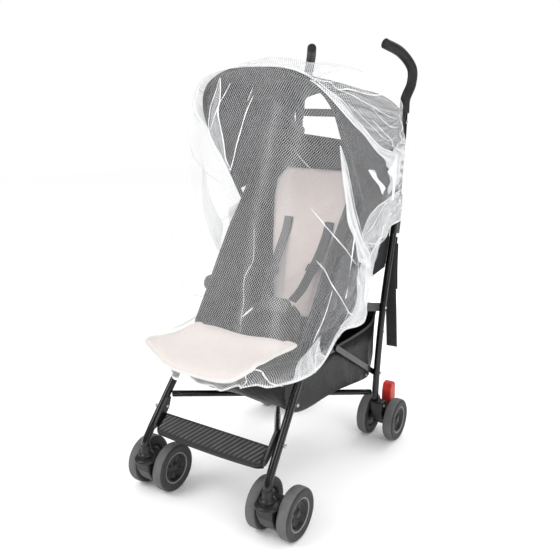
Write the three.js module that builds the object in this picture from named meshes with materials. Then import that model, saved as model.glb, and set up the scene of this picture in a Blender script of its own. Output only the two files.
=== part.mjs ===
// A sheer mosquito net fitted over a plain umbrella stroller.
// Millimetres, +Z up. The child faces -Y, and +X is the child's left.
// Heights are above the floor and Y is measured from the front axle;
// the last lines move the origin to the bottom centre of the whole.

import * as THREE from 'three';

// Driving dimensions
const TRACK_HALF = 180;          // centre of a wheel pair from the middle
const WHEELBASE = 560;
const WHEEL_RADIUS = 61;         // across the corners of the tread facets
const WHEEL_WIDTH = 31;
const WHEEL_SEGMENTS = 20;
const PAIR_HALF = 41;            // one wheel of a pair from the pair's centre
const TUBE_RADIUS = 9.5;
const TUBE_SIDES = 8;
const TUBE_X = 168;              // the side tubes' centre lines above the legs
const FIT_GAP = 0.4;             // between pieces that touch
const TUBE_FLAT = TUBE_RADIUS * Math.cos(Math.PI / TUBE_SIDES);
const INNER_FACE = TUBE_X - TUBE_FLAT - FIT_GAP;
const OUTER_FACE = TUBE_X + TUBE_FLAT + FIT_GAP;
const NET_THICK = 2;
const CLOTH_THICK = 2.5;
const STRAP_THICK = 2;
const AXLE_Z = WHEEL_RADIUS * Math.cos(Math.PI / WHEEL_SEGMENTS);
const SIDES = [['left', 1], ['right', -1]];

// Materials
function paint(colour, roughness, metalness = 0) {
  return new THREE.MeshStandardMaterial({ color: colour, roughness, metalness });
}

const NET = paint(0xe9eaea, 0.9);
const BLACK_CLOTH = paint(0x1d1d1f, 0.95);
const LINER_CLOTH = paint(0xe6d5cf, 0.95);
const WEBBING = paint(0x18181a, 0.8);
const TUBE_PAINT = paint(0x141415, 0.35, 0.4);
const BLACK_PLASTIC = paint(0x161617, 0.5);
const TYRE_FOAM = paint(0x4b4b4d, 0.8);
const PEDAL_RED = paint(0xc9382c, 0.45);

const stroller = new THREE.Group();

// Geometry helpers

// Turns a closed geometry's faces outwards by the sign of its volume.
function facingOut(geometry) {
  const solid = geometry.index ? geometry.toNonIndexed() : geometry;
  const p = solid.getAttribute('position');
  const [a, b, c] = [new THREE.Vector3(), new THREE.Vector3(), new THREE.Vector3()];
  let volume = 0;
  for (let i = 0; i < p.count; i += 3) {
    a.fromBufferAttribute(p, i);
    b.fromBufferAttribute(p, i + 1);
    c.fromBufferAttribute(p, i + 2);
    volume += a.dot(b.cross(c));
  }
  if (volume < 0) {
    for (let i = 0; i < p.count; i += 3) {
      b.fromBufferAttribute(p, i + 1);
      c.fromBufferAttribute(p, i + 2);
      p.setXYZ(i + 1, c.x, c.y, c.z);
      p.setXYZ(i + 2, b.x, b.y, b.z);
    }
  }
  return solid;
}

function add(name, geometry, material) {
  const mesh = new THREE.Mesh(facingOut(geometry), material);
  mesh.name = name;
  stroller.add(mesh);
  return mesh;
}

const vec = ([x, y, z]) => new THREE.Vector3(x, y, z);

function smoothPath(points) {
  return new THREE.CatmullRomCurve3(points.map(vec), false, 'centripetal');
}

// A bar of any flat section swept along a path.
function sweep(path, section, steps) {
  return new THREE.ExtrudeGeometry(section, { extrudePath: path, steps, bevelEnabled: false });
}

function roundSection(radius, sides) {
  const corners = [];
  for (let i = 0; i < sides; i += 1) {
    const angle = (2 * Math.PI * (i + 0.5)) / sides;
    corners.push(new THREE.Vector2(radius * Math.cos(angle), radius * Math.sin(angle)));
  }
  return new THREE.Shape(corners);
}

function tube(points, radius, steps, sides = TUBE_SIDES) {
  return sweep(smoothPath(points), roundSection(radius, sides), steps);
}

// A flat plate: an outline in the Y-Z plane given a thickness along X.
function plate(outline, xFrom, xTo) {
  const shape = new THREE.Shape(outline.map(([y, z]) => new THREE.Vector2(y, z)));
  const low = Math.min(xFrom, xTo);
  const geometry = new THREE.ExtrudeGeometry(shape, { depth: Math.abs(xTo - xFrom), bevelEnabled: false });
  geometry.rotateY(Math.PI / 2);
  geometry.rotateX(Math.PI / 2);
  geometry.translate(low, 0, 0);
  return geometry;
}

// The outline of a bar with round ends between two points of the Y-Z plane.
function barOutline(from, to, fromRadius, toRadius = fromRadius, steps = 6) {
  const heading = Math.atan2(to[1] - from[1], to[0] - from[0]);
  const outline = [];
  for (const [centre, radius, turn] of [[to, toRadius, -Math.PI / 2], [from, fromRadius, Math.PI / 2]]) {
    for (let i = 0; i <= steps; i += 1) {
      const angle = heading + turn + (Math.PI * i) / steps;
      outline.push([centre[0] + radius * Math.cos(angle), centre[1] + radius * Math.sin(angle)]);
    }
  }
  return outline;
}

// A closed sheet: a grid of points and the same grid set back along its normals.
// inwards is a point that the set-back side looks towards.
function sheet(grid, thickness, inwards) {
  const rows = grid.length;
  const columns = grid[0].length;
  const centre = vec(inwards);
  const back = grid.map((row, i) => row.map((point, j) => {
    const along = grid[Math.min(i + 1, rows - 1)][j].clone().sub(grid[Math.max(i - 1, 0)][j]);
    const across = row[Math.min(j + 1, columns - 1)].clone().sub(row[Math.max(j - 1, 0)]);
    const normal = along.cross(across).normalize();
    return { point, normal };
  }));
  let facing = 0;
  for (const row of back) {
    for (const { point, normal } of row) facing += normal.dot(centre.clone().sub(point));
  }
  const step = facing > 0 ? thickness : -thickness;
  const vertices = [];
  for (const row of back) {
    for (const { point } of row) vertices.push(point);
  }
  for (const row of back) {
    for (const { point, normal } of row) vertices.push(point.clone().addScaledVector(normal, step));
  }
  const front = (i, j) => i * columns + j;
  const rear = (i, j) => rows * columns + i * columns + j;
  const faces = [];
  const quad = (a, b, c, d) => faces.push(a, b, c, a, c, d);
  for (let i = 0; i < rows - 1; i += 1) {
    for (let j = 0; j < columns - 1; j += 1) {
      quad(front(i, j), front(i + 1, j), front(i + 1, j + 1), front(i, j + 1));
      quad(rear(i, j), rear(i, j + 1), rear(i + 1, j + 1), rear(i + 1, j));
    }
  }
  for (let j = 0; j < columns - 1; j += 1) {
    quad(front(0, j), front(0, j + 1), rear(0, j + 1), rear(0, j));
    quad(front(rows - 1, j + 1), front(rows - 1, j), rear(rows - 1, j), rear(rows - 1, j + 1));
  }
  for (let i = 0; i < rows - 1; i += 1) {
    quad(front(i + 1, 0), front(i, 0), rear(i, 0), rear(i + 1, 0));
    quad(front(i, columns - 1), front(i + 1, columns - 1), rear(i + 1, columns - 1), rear(i, columns - 1));
  }
  const geometry = new THREE.BufferGeometry();
  geometry.setAttribute('position', new THREE.Float32BufferAttribute(vertices.flatMap((v) => v.toArray()), 3));
  geometry.setIndex(faces);
  return geometry;
}

const NEAR = 0.02;               // how far off in the table a slope is taken

// A smooth surface through rows of control points.
// Each row runs from the rear edge on +X, by the front, to the rear edge on -X.
class Drape {
  constructor(rows) {
    this.columns = rows[0].length;
    this.curves = rows[0].map((_, k) => new THREE.CatmullRomCurve3(rows.map((row) => vec(row[k]))));
    this.rows = rows.length;
  }

  at(row, column) {
    const t = row / (this.rows - 1);
    const across = new THREE.CatmullRomCurve3(this.curves.map((curve) => curve.getPoint(t)));
    return across.getPoint(column / (this.columns - 1));
  }

  normalAt(row, column) {
    const [lastRow, lastColumn] = [this.rows - 1, this.columns - 1];
    const along = this.at(Math.min(row + NEAR, lastRow), column).sub(this.at(Math.max(row - NEAR, 0), column));
    const left = this.at(row, Math.max(column - NEAR, 0));
    const across = this.at(row, Math.min(column + NEAR, lastColumn)).sub(left);
    return along.cross(across).normalize();
  }
}

// Half a row of points that start with x, edge first and middle last, made whole by its mirror image.
function mirrored(half) {
  const other = half.slice(0, -1).reverse().map(([x, ...rest]) => [-x, ...rest]);
  return [...half, ...other];
}

// Parameters with a chosen number of steps between one control point and the next.
function stations(steps) {
  const list = [0];
  steps.forEach((count, k) => {
    for (let i = 1; i <= count; i += 1) list.push(k + i / count);
  });
  return list;
}

// Wheels
const AXLES = [['front', 0], ['rear', WHEELBASE]];
const TYRE_BORE = 38;
const TREAD_HALF = 10;
const HUB_PLAY = 0.3;
const HOUSING_HALF = 18;         // half the width of a wheel pair's housing

function wheel(end, side, hand, place, offset) {
  const half = WHEEL_WIDTH / 2;
  const tyre = [[TYRE_BORE, 12], [56, half], [WHEEL_RADIUS, TREAD_HALF],
    [WHEEL_RADIUS, -TREAD_HALF], [56, -half], [TYRE_BORE, -12], [TYRE_BORE, 12]];
  const bore = TYRE_BORE - HUB_PLAY;
  const bossReach = PAIR_HALF - HOUSING_HALF - FIT_GAP;
  const hub = [[0, 9], [10, 8], [14, 5], [30, 6], [bore, 11], [bore, -10], [13, -10],
    [13, -bossReach], [0, -bossReach]];
  const names = { tyre: TYRE_FOAM, hub: BLACK_PLASTIC };
  for (const [kind, profile] of [['tyre', tyre], ['hub', hub]]) {
    const points = profile.map(([r, x]) => new THREE.Vector2(r, x * Math.sign(offset)));
    const geometry = new THREE.LatheGeometry(points, WHEEL_SEGMENTS, Math.PI / WHEEL_SEGMENTS);
    geometry.rotateZ(-Math.PI / 2);
    const label = offset > 0 ? 'a' : 'b';
    const mesh = add(`${end}_${side}_${kind}_${label}`, geometry, names[kind]);
    mesh.position.set(hand * TRACK_HALF + offset, place, AXLE_Z);
  }
}

for (const [end, place] of AXLES) {
  for (const [side, hand] of SIDES) {
    for (const offset of [PAIR_HALF, -PAIR_HALF]) wheel(end, side, hand, place, offset);
  }
}

// Frame tubes
const LEG_FOOT = [180, -49, 118];           // each front leg ends upright in its caster
const PUSH_FOOT_Z = 120;
const GRIP_SEAT_Z = 930;
const GRIP_RADIUS = 13.5;
const FRONT_TUBE = [LEG_FOOT, [180, -48.6, 136], [178.6, -33, 162], [174.5, 18, 228], [168.3, 103, 338],
  [TUBE_X, 225, 500], [TUBE_X, 344, 650], [TUBE_X, 470, 795], [TUBE_X, 578, 900]];
const PUSH_TUBE = [[TUBE_X, 530, PUSH_FOOT_Z], [TUBE_X, 532, 180], [TUBE_X, 557, 393],
  [TUBE_X, 618, 655], [TUBE_X, 638, 843], [TUBE_X, 642, GRIP_SEAT_Z]];
const GRIP = [[TUBE_X, 642.2, GRIP_SEAT_Z + 2 * FIT_GAP], [TUBE_X, 645, 966], [171, 676, 1010], [166, 686, 1050],
  [143, 660, 1090], [113, 612, 1112]];

for (const [side, hand] of SIDES) {
  const place = (points) => points.map(([x, y, z]) => [hand * x, y, z]);
  add(`front_tube_${side}`, tube(place(FRONT_TUBE), TUBE_RADIUS, 16), TUBE_PAINT);
  add(`push_tube_${side}`, tube(place(PUSH_TUBE), TUBE_RADIUS, 10), TUBE_PAINT);
  add(`grip_${side}`, tube(place(GRIP), GRIP_RADIUS, 10), BLACK_PLASTIC);
}

// Wheel housings, joint plates, pivot caps and brake pedals
const FRONT_FORK = [[-62, 117.2], [-36, 117.2], [-27, 99], [10, 78], [17, 60], [9, 46], [-8, 44], [-30, 50],
  [-56, 74], [-62, 92]];
const REAR_HOUSING = [[514, 119.4], [546, 119.4], [576, 68], [570, 50], [556, 44], [540, 52], [516, 90]];
const PEDAL = [[576.6, 58], [586, 64], [592, 94], [612, 100], [610, 150], [600, 157], [583, 154], [578, 138],
  [576.6, 82]];
const PEDAL_X = [168, 197];
const JOINT_ENDS = [[578, 902], [640, 880]];
const JOINT_HALF = 11;
const JOINT_THICK = 4;
const CAP = { top: 20, base: 22, height: 13, place: [214, 486] };
for (const [side, hand] of SIDES) {
  const middle = hand * TRACK_HALF;
  const xRange = [middle - HOUSING_HALF, middle + HOUSING_HALF];
  add(`front_fork_${side}`, plate(FRONT_FORK, ...xRange), BLACK_PLASTIC);
  add(`rear_housing_${side}`, plate(REAR_HOUSING, ...xRange), BLACK_PLASTIC);
  add(`brake_pedal_${side}`, plate(PEDAL, hand * PEDAL_X[0], hand * PEDAL_X[1]), PEDAL_RED);
  const jointOutline = barOutline(...JOINT_ENDS, JOINT_HALF);
  const joint = plate(jointOutline, hand * INNER_FACE, hand * (INNER_FACE - JOINT_THICK));
  add(`joint_plate_${side}`, joint, BLACK_PLASTIC);
  const cap = new THREE.CylinderGeometry(CAP.top, CAP.base, CAP.height, 16);
  cap.rotateZ(-hand * Math.PI / 2);
  const capMesh = add(`pivot_cap_${side}`, cap, BLACK_PLASTIC);
  capMesh.position.set(hand * (OUTER_FACE + CAP.height / 2), ...CAP.place);
}

// Cross braces, seat rails and rear links
const BRACE_RADIUS = 8;
const BRACE_REAR = [155, 524];   // x and y
const BRACES = [
  // name, side of its rear end, front x, front y, front z, rear z
  ['brace_upper', 1, 159.6, 32, 240, 142],
  ['brace_lower', -1, 160.4, 18, 221, 122]];
for (const [name, hand, frontX, frontY, frontZ, rearZ] of BRACES) {
  const middle = [0, (frontY + BRACE_REAR[1]) / 2, (frontZ + rearZ) / 2];
  const route = [[-hand * frontX, frontY, frontZ], middle, [hand * BRACE_REAR[0], BRACE_REAR[1], rearZ]];
  add(name, tube(route, BRACE_RADIUS, 2), TUBE_PAINT);
}

const RAIL_THICK = 4;
const RAIL_FRONT = [114, 351];
const RAIL_REAR = [300, 343];
const LINK_REAR = [541, 198];
for (const [side, hand] of SIDES) {
  const linkInside = INNER_FACE - RAIL_THICK;
  const railOutside = linkInside - FIT_GAP;
  const rail = plate(barOutline(RAIL_FRONT, RAIL_REAR, 9), hand * railOutside, hand * (railOutside - RAIL_THICK));
  add(`seat_rail_${side}`, rail, TUBE_PAINT);
  const link = plate(barOutline(RAIL_REAR, LINK_REAR, 8), hand * INNER_FACE, hand * linkInside);
  add(`rear_link_${side}`, link, TUBE_PAINT);
  const rivet = new THREE.CylinderGeometry(6, 6, RAIL_THICK, 10);
  rivet.rotateZ(Math.PI / 2);
  const rivetMesh = add(`rail_rivet_${side}`, rivet, TUBE_PAINT);
  rivetMesh.position.set(hand * (INNER_FACE - RAIL_THICK / 2), ...RAIL_FRONT);
}

// Footrest
const FOOTREST_THICK = 6;
const FOOTREST_ROWS = [
  // y and z of the tread at its ends, y at its middle, y and z of the ear's top
  [-32, 176, -45, -6, 212],
  [-20, 187, -24, 6, 230],
  [2, 201, 2, 20, 236]];
const EAR_X = [158.9, 160.4];     // inside of an ear at its top and at its foot
const footrestGrid = FOOTREST_ROWS.map(([endY, z, middleY, earY, earZ]) => {
  const ear = [[EAR_X[0], earY, earZ], [EAR_X[1], endY, z + 5], [EAR_X[1] - 4, endY, z]];
  const tread = [140, 90, 0].map((x) => [x, middleY + (endY - middleY) * (x / EAR_X[1]) ** 4, z]);
  return mirrored([...ear, ...tread]).map(vec);
});
add('footrest', sheet(footrestGrid, FOOTREST_THICK, [0, 0, -900]), BLACK_PLASTIC);

// Seat: a sling whose floor runs back and up, with wings to the side tubes
const SEAT_WING_X = INNER_FACE - CLOTH_THICK + 0.6;
const SEAT_FLAT_X = 106;          // half the flat part of the floor and of the back
const SEAT_FLOOR_X = 146;
const SEAT_ROWS = [
  // name, floor y, floor z, wing tip y, wing tip z
  ['front lip', 99, 382, 106, 384],
  ['pan front', 112, 396, 124, 410],
  ['pan middle', 220, 392, 178, 492],
  ['pan rear', 318, 390, 236, 582],
  ['lower back', 362, 446, 276, 640],
  ['middle back', 402, 600, 318, 692],
  ['upper back', 440, 750, 376, 772],
  ['top', 466, 866, 440, 852]];
const SEAT_TOP_TILT = 0.12;       // the top edge hangs lower on +X

const seatDrape = new Drape(SEAT_ROWS.map(([name, fy, fz, wy, wz]) => {
  const between = (x, share) => [x, fy + (wy - fy) * share, fz + (wz - fz) * share];
  const row = mirrored([between(SEAT_WING_X, 1), between(SEAT_WING_X - 2, 0.55), between(SEAT_FLOOR_X, 0.08),
    between(SEAT_FLAT_X, 0), between(0, -0.04)]);
  return name === 'top' ? row.map(([x, y, z]) => [x, y, z - SEAT_TOP_TILT * x]) : row;
}));
const SEAT_INSIDE = [0, 200, 620];
const SEAT_BEHIND = [0, 900, 200];

// A part of the seat's surface, moved towards the child by a distance.
function onSeat(rowList, columnList, lift) {
  return rowList.map((row) => columnList.map((column) => {
    const point = seatDrape.at(row, column);
    const normal = seatDrape.normalAt(row, column);
    const sign = Math.sign(normal.dot(vec(SEAT_INSIDE).sub(point)));
    return point.addScaledVector(normal, sign * lift);
  }));
}

const SEAT_STATIONS = stations([2, 3, 3, 3, 4, 3, 2]);
const SEAT_COLUMNS = stations([1, 2, 2, 2, 2, 2, 2, 1]);
const seatGrid = SEAT_STATIONS.map((row) => SEAT_COLUMNS.map((column) => seatDrape.at(row, column)));
add('seat', sheet(seatGrid, CLOTH_THICK, SEAT_BEHIND), BLACK_CLOTH);

// Liner on the seat back, and the leg rest in front of the seat
const LINER_THICK = 6;
const LINER_LIFT = 1.1;
const LINER_SHAPE = [
  // seat row, half width
  [10 / 3, 62], [11 / 3, 66], [4, 72], [4.25, 80], [4.5, 88], [4.75, 96], [5, 103], [16 / 3, 109], [17 / 3, 114],
  [6, 112], [6.25, 84]];
const LINER_SHARES = [-1, -0.8, -0.4, 0, 0.4, 0.8, 1];
const columnAt = (x) => 4 - Math.sign(x) * (Math.min(Math.abs(x), SEAT_FLAT_X) / SEAT_FLAT_X
  + Math.max(Math.abs(x) - SEAT_FLAT_X, 0) / (SEAT_FLOOR_X - SEAT_FLAT_X));
const linerGrid = LINER_SHAPE.map(([row, half]) => LINER_SHARES.map((share) => (
  onSeat([row], [columnAt(-share * half)], LINER_LIFT + LINER_THICK)[0][0])));
add('seat_liner', sheet(linerGrid, LINER_THICK, SEAT_BEHIND), LINER_CLOTH);

const LEG_REST_REAR = 112;        // its rear edge lies on the seat
const LEG_REST_ROWS = [
  // y, z at the side, z in the middle, width to -X and to +X of the middle
  [LEG_REST_REAR, 404.6, 402.2, 148, 148],
  [92, 402.2, 398.2, 152, 148],
  [50, 395, 380, 160, 132],
  [0, 396, 370, 170, 134],
  [-38, 400, 362, 175, 138],
  [-50, 393, 352, 173, 136]];
const legRest = new Drape(LEG_REST_ROWS.map(([y, sideZ, middleZ, right, left]) => {
  const middle = [0, y - 8 * (y < 0), middleZ];
  const [near, far] = [left, -right].map((x) => [[x, y + 6, sideZ], [x * 0.6, y - 2, middleZ + 6]]);
  return [...near, middle, ...far.reverse()];
}));
const legRestGrid = stations([1, 2, 2, 2, 1]).map((row) => stations([3, 2, 2, 3]).map((column) => {
  const point = legRest.at(row, column);
  return row === 0 ? point.setY(LEG_REST_REAR) : point;
}));
add('leg_rest', sheet(legRestGrid, LINER_THICK, [0, 0, 0]), LINER_CLOTH);

// Harness: two shoulder straps, a crotch strap and a buckle
function strap(points, width, steps) {
  const grid = [];
  const path = smoothPath(points);
  for (let i = 0; i <= steps; i += 1) {
    const p = path.getPoint(i / steps);
    grid.push([new THREE.Vector3(p.x - width / 2, p.y, p.z), new THREE.Vector3(p.x + width / 2, p.y, p.z)]);
  }
  return sheet(grid, STRAP_THICK, SEAT_BEHIND);
}

const SHOULDER_STRAPS = {
  // from the slot in the liner to the hip, each side as it hangs
  left: [[71, 405.6, 646], [70, 396.4, 618], [60, 372, 560], [45, 348, 510], [37, 320, 474], [28, 290, 450]],
  right: [[-57, 407.9, 652], [-58, 399.6, 622], [-66, 374, 560], [-74, 346, 494], [-72, 320, 446], [-56, 292, 420]]};
for (const [side] of SIDES) add(`shoulder_strap_${side}`, strap(SHOULDER_STRAPS[side], 28, 10), WEBBING);
const CROTCH_STRAP = [[18, 226, 388.6], [18, 230, 408], [18, 235.8, 426.6]];
add('crotch_strap', strap(CROTCH_STRAP, 26, 3), WEBBING);
const BUCKLE = { place: [18, 243, 447], size: [66, 14, 40], lean: -0.6 };
const buckle = add('buckle', new THREE.BoxGeometry(...BUCKLE.size), BLACK_PLASTIC);
buckle.position.set(...BUCKLE.place);
buckle.rotation.x = BUCKLE.lean;

// Basket: an open bag below the seat
const BASKET = { front: 60, rear: 548, half: 149.8, rim: 342, bottom: 222, fall: 14, dip: 44 };
const BASKET_REAR = { sag: 40, rise: 58 };             // how far the bottom sags and the rim rises at the rear
const BASKET_BENDS = { front: 3, rear: 10, side: 14 };  // how sharply the bottom turns up into each wall
const basketGrid = [];
for (let i = 0; i <= 12; i += 1) {
  const row = [];
  for (let j = 0; j <= 12; j += 1) {
    const [v, u] = [i / 6 - 1, j / 6 - 1];
    const end = Math.abs(v) ** (v < 0 ? BASKET_BENDS.front : BASKET_BENDS.rear);
    const wall = 1 - (1 - Math.abs(u) ** BASKET_BENDS.side) * (1 - end);
    const x = BASKET.half * Math.sin(u * Math.PI / 2);
    const [middle, reach] = [(BASKET.front + BASKET.rear) / 2, (BASKET.rear - BASKET.front) / 2];
    const y = middle + reach * Math.sin(v * Math.PI / 2);
    const rearShare = Math.max(0, v);
    const level = BASKET.bottom - (BASKET.fall / 2 + (BASKET.dip / 2) * u ** 4) * (1 + v);
    const bottom = level - BASKET_REAR.sag * rearShare ** 1.5;
    const rim = BASKET.rim + BASKET_REAR.rise * rearShare ** 5;
    row.push(new THREE.Vector3(x, y, bottom + (rim - bottom) * wall));
  }
  basketGrid.push(row);
}
add('basket', sheet(basketGrid, CLOTH_THICK, [0, 310, 330]), BLACK_CLOTH);

// Straps outside the seat: one from each rear seat corner, and the carry strap
const CORNER_STRAP = { from: [INNER_FACE - 6, 402, 432], to: [INNER_FACE, 558, 392], half: 11 };
for (const [side, hand] of SIDES) {
  const mirror = new THREE.Vector3(hand, 1, 1);
  const [from, to] = [vec(CORNER_STRAP.from).multiply(mirror), vec(CORNER_STRAP.to).multiply(mirror)];
  const grid = [0, 0.5, 1].map((t) => [-1, 1].map((edge) => (
    from.clone().lerp(to, t).add(new THREE.Vector3(0, 0, edge * CORNER_STRAP.half)))));
  add(`corner_strap_${side}`, sheet(grid, STRAP_THICK, [0, 400, 400]), WEBBING);
}
const CARRY_ROWS = [
  // z, x, y: it hangs behind the push tube
  [588, 162, 613.6], [560, 162, 610], [500, 163, 611], [430, 165, 615], [340, 169, 621], [256, 172, 627]];
const CARRY_HALF = 15;
const carryGrid = CARRY_ROWS.map(([z, x, y]) => [-1, 1].map((edge) => (
  new THREE.Vector3(x + edge * CARRY_HALF, y, z))));
add('carry_strap', sheet(carryGrid, STRAP_THICK, SEAT_BEHIND), WEBBING);

// Cloth between the seat back and the push tubes
const SIDE_PANEL = [[340, 402], [448, 412], [452, 482], [472, 490], [579, 505], [606, 620], [608, 752], [560, 776],
  [490, 758], [438, 722], [414, 680], [396, 610], [376, 540], [362, 490], [350, 446]];
for (const [side, hand] of SIDES) {
  add(`side_panel_${side}`, plate(SIDE_PANEL, hand * INNER_FACE, hand * (INNER_FACE - CLOTH_THICK)), BLACK_CLOTH);
}

// Strap across behind the hood, with a tab in front of each push tube
const HOOD_STRAP = [
  // x, upper z, lower z, from a push tube to the middle
  [176, 929, 905], [153, 929, 905], [149, 944, 922], [0, 941, 919]];
const HOOD_STRAP_Y = 631.6;
const strapRows = mirrored(HOOD_STRAP);
const strapUpper = strapRows.map(([x, upper]) => new THREE.Vector2(x, upper));
const strapLower = strapRows.map(([x, , lower]) => new THREE.Vector2(x, lower));
const strapShape = new THREE.Shape([...strapUpper, ...strapLower.reverse()]);
const hoodStrap = new THREE.ExtrudeGeometry(strapShape, { depth: STRAP_THICK, bevelEnabled: false });
hoodStrap.rotateX(Math.PI / 2);
hoodStrap.translate(0, HOOD_STRAP_Y, 0);
add('hood_strap', hoodStrap, WEBBING);

// Hood: a round bow at its front edge and a shell back to the push tubes
const BOW_RADIUS = 6;
const BOW_FOOT_X = OUTER_FACE + BOW_RADIUS - 0.5;
const BOW = [[BOW_FOOT_X, 374, 688], [BOW_FOOT_X, 350, 720], [184.6, 296, 800], [186.6, 240, 872], [180, 206, 932],
  [150, 180, 978], [90, 164, 1008], [0, 160, 1021]];
add('hood_bow', tube(mirrored(BOW), BOW_RADIUS, 30, 6), TUBE_PAINT);

const HOOD_ROWS = [
  // each row from its lower edge on +X to its middle
  [[183, 355.4, 725.4], [184.6, 302.4, 804.6], [185.4, 236, 896], [140, 183, 983], [0, 167.2, 1020]],
  [[184, 430, 744], [186, 386, 822], [186, 340, 906], [142, 320, 982], [0, 312, 1014]],
  [[184, 520, 782], [184, 500, 850], [184, 470, 918], [138, 462, 978], [0, 458, 1006]],
  [[184, 582, 830], [184, 586, 878], [182, 588, 926], [124, 586, 972], [0, 582, 994]]];
// On -X the rear edge hangs further back, round the outside of the push tube.
const HOOD_FAR_REAR = [[-124, 592, 972], [-180, 626, 926], [-184, 644, 884], [-184, 640, 830]];
const hoodRows = HOOD_ROWS.map(mirrored);
hoodRows.at(-1).splice(-HOOD_FAR_REAR.length, HOOD_FAR_REAR.length, ...HOOD_FAR_REAR);
const hood = new Drape(hoodRows);
const hoodGrid = stations([4, 3, 3]).map((row) => stations([2, 2, 3, 3, 3, 3, 2, 2])
  .map((column) => hood.at(row, column)));
add('hood', sheet(hoodGrid, CLOTH_THICK, [0, 380, 800]), BLACK_CLOTH);

// Net: one sheet from the hem behind the hood to the hem below the leg rest
const NET_ROWS = [
  // each row from the push tube on +X, along the side, to the middle of the front
  [[190, 572, 925], [190, 576, 946], [175, 586, 967], [140, 598, 998], [86, 602, 1027], [0, 600, 1045]],
  [[190, 578, 908], [193, 562, 918], [190, 552, 946], [162, 522, 1000], [96, 506, 1032], [0, 500, 1048]],
  [[190, 586, 890], [197, 530, 888], [202, 470, 905], [172, 372, 998], [104, 362, 1030], [0, 360, 1042]],
  [[190, 600, 868], [201, 512, 856], [206, 404, 856], [190, 222, 962], [144, 180, 1002], [0, 166, 1032]],
  [[190, 612, 852], [202, 500, 840], [208, 390, 830], [198, 196, 926], [147, 149, 993], [0, 145, 1018]],
  [[190, 622, 840], [203, 490, 820], [210, 375, 796], [204, 184, 876], [136, 138, 918], [0, 132, 952]],
  [[188, 618, 820], [204, 470, 790], [212, 350, 750], [206, 176, 778], [128, 120, 815], [0, 104, 838]],
  [[188, 618, 790], [205, 460, 748], [214, 330, 680], [204, 112, 652], [124, 68, 676], [0, 48, 690]],
  [[189, 616, 752], [206, 450, 700], [215, 316, 590], [198, 46, 534], [120, 8, 542], [0, -10, 546]],
  [[190, 614, 710], [207, 440, 650], [213, 308, 500], [194, -10, 438], [120, -44, 434], [0, -56, 432]],
  [[191, 612, 684], [208, 430, 618], [212, 302, 452], [188, -46, 400], [118, -68, 386], [0, -76, 376]],
  [[192, 610, 658], [209, 392, 592], [210, 300, 416], [178, -58, 378], [112, -64, 356], [0, -64, 342]]];
const NET_EDGE_ROW = NET_ROWS.length - 1;
const net = new Drape(NET_ROWS.map(mirrored));
const NET_INSIDE = [0, 350, 600];

// Folds of the net: soft ridges between two places, each place a row and a column of the table.
// Column 5 is the middle and column 0 the edge at the push tube on +X.
const NET_FOLDS = [
  // from row, from column, to row, to column, height, half width
  [1.5, 5.4, 2.0, 0.5, 7, 34],
  [2.6, 4.9, 3.0, 0.5, 8, 36],
  [3.2, 4.0, 5.4, 0.4, 9, 34],
  [4.6, 3.6, 7.2, 0.5, 8, 34],
  [5.0, 5.6, 7.4, 2.9, 6, 40],
  [5.6, 4.4, 9.6, 2.0, 8, 40],
  [7.0, 3.6, 10.0, 4.2, 7, 36],
  [5.2, 6.6, 7.5, 6.4, 6, 36],
  [6.2, 7.2, 10.2, 6.6, 6, 38],
  [8.0, 1.9, 9.6, 0.3, 9, 34],
  [9.2, 4.7, 10.9, 4.3, 7, 30]];
const ROW_LENGTH = 120;          // mean distance between two rows
const COLUMN_LENGTH = 140;       // mean distance between two columns
const HEM_WAVE = { height: 6, reach: 1.3, waves: 17 };
const HEM_REACH = 2;
const HEM_DIPS = [
  // column, half width and fall: the hem hangs lower before the near front leg and is drawn up behind it
  [2.68, 0.3, 22],
  [2.24, 0.17, -26]];

function foldHeight(row, column) {
  let height = 0;
  for (const [r0, c0, r1, c1, rise, half] of NET_FOLDS) {
    const [dr, dc] = [(r1 - r0) * ROW_LENGTH, (c1 - c0) * COLUMN_LENGTH];
    const [pr, pc] = [(row - r0) * ROW_LENGTH, (column - c0) * COLUMN_LENGTH];
    const share = Math.min(1, Math.max(0, (pr * dr + pc * dc) / (dr * dr + dc * dc)));
    const away = Math.hypot(pr - share * dr, pc - share * dc);
    height += rise * Math.exp(-((away / half) ** 2));
  }
  const nearHem = Math.max(0, 1 - (NET_EDGE_ROW - row) / HEM_WAVE.reach);
  const ruffle = Math.sin((column / 10) * 2 * Math.PI * HEM_WAVE.waves) + 0.6 * Math.sin(column * 7.3);
  return height + HEM_WAVE.height * nearHem * (1 + ruffle);
}

function netPoint(row, column) {
  const point = net.at(row, column);
  const normal = net.normalAt(row, column);
  const outwards = Math.sign(normal.dot(point.clone().sub(vec(NET_INSIDE))));
  const dipShare = Math.max(0, 1 - (NET_EDGE_ROW - row) / HEM_REACH);
  for (const [middle, half, fall] of HEM_DIPS) {
    point.z -= fall * dipShare * Math.exp(-(((column - middle) / half) ** 2));
  }
  return point.addScaledVector(normal, outwards * foldHeight(row, column));
}

const NET_STATIONS = stations([2, 3, 3, 2, 2, 3, 3, 3, 3, 2, 2]);
const NET_COLUMNS = stations([6, 5, 8, 3, 4, 4, 3, 8, 5, 6]);
const netGrid = NET_STATIONS.map((row) => NET_COLUMNS.map((column) => netPoint(row, column)));
add('net', sheet(netGrid, NET_THICK, NET_INSIDE), NET);

// The origin goes to the bottom centre of the whole
stroller.updateMatrixWorld(true);
const box = new THREE.Box3().setFromObject(stroller, true);
stroller.position.set(-(box.min.x + box.max.x) / 2, -(box.min.y + box.max.y) / 2, -box.min.z);
stroller.updateMatrixWorld(true);

export default stroller;
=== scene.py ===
"""A sheer mosquito net fitted over a plain umbrella stroller.

Sizes are millimetres: Y from the front axle and Z from the floor, as in the part's source.
The child faces -Y and +X is the child's left. place() turns them into metres in the row frame.
"""

import math

import bmesh
import bpy
import numpy as np
from mathutils import Matrix, Vector


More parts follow.
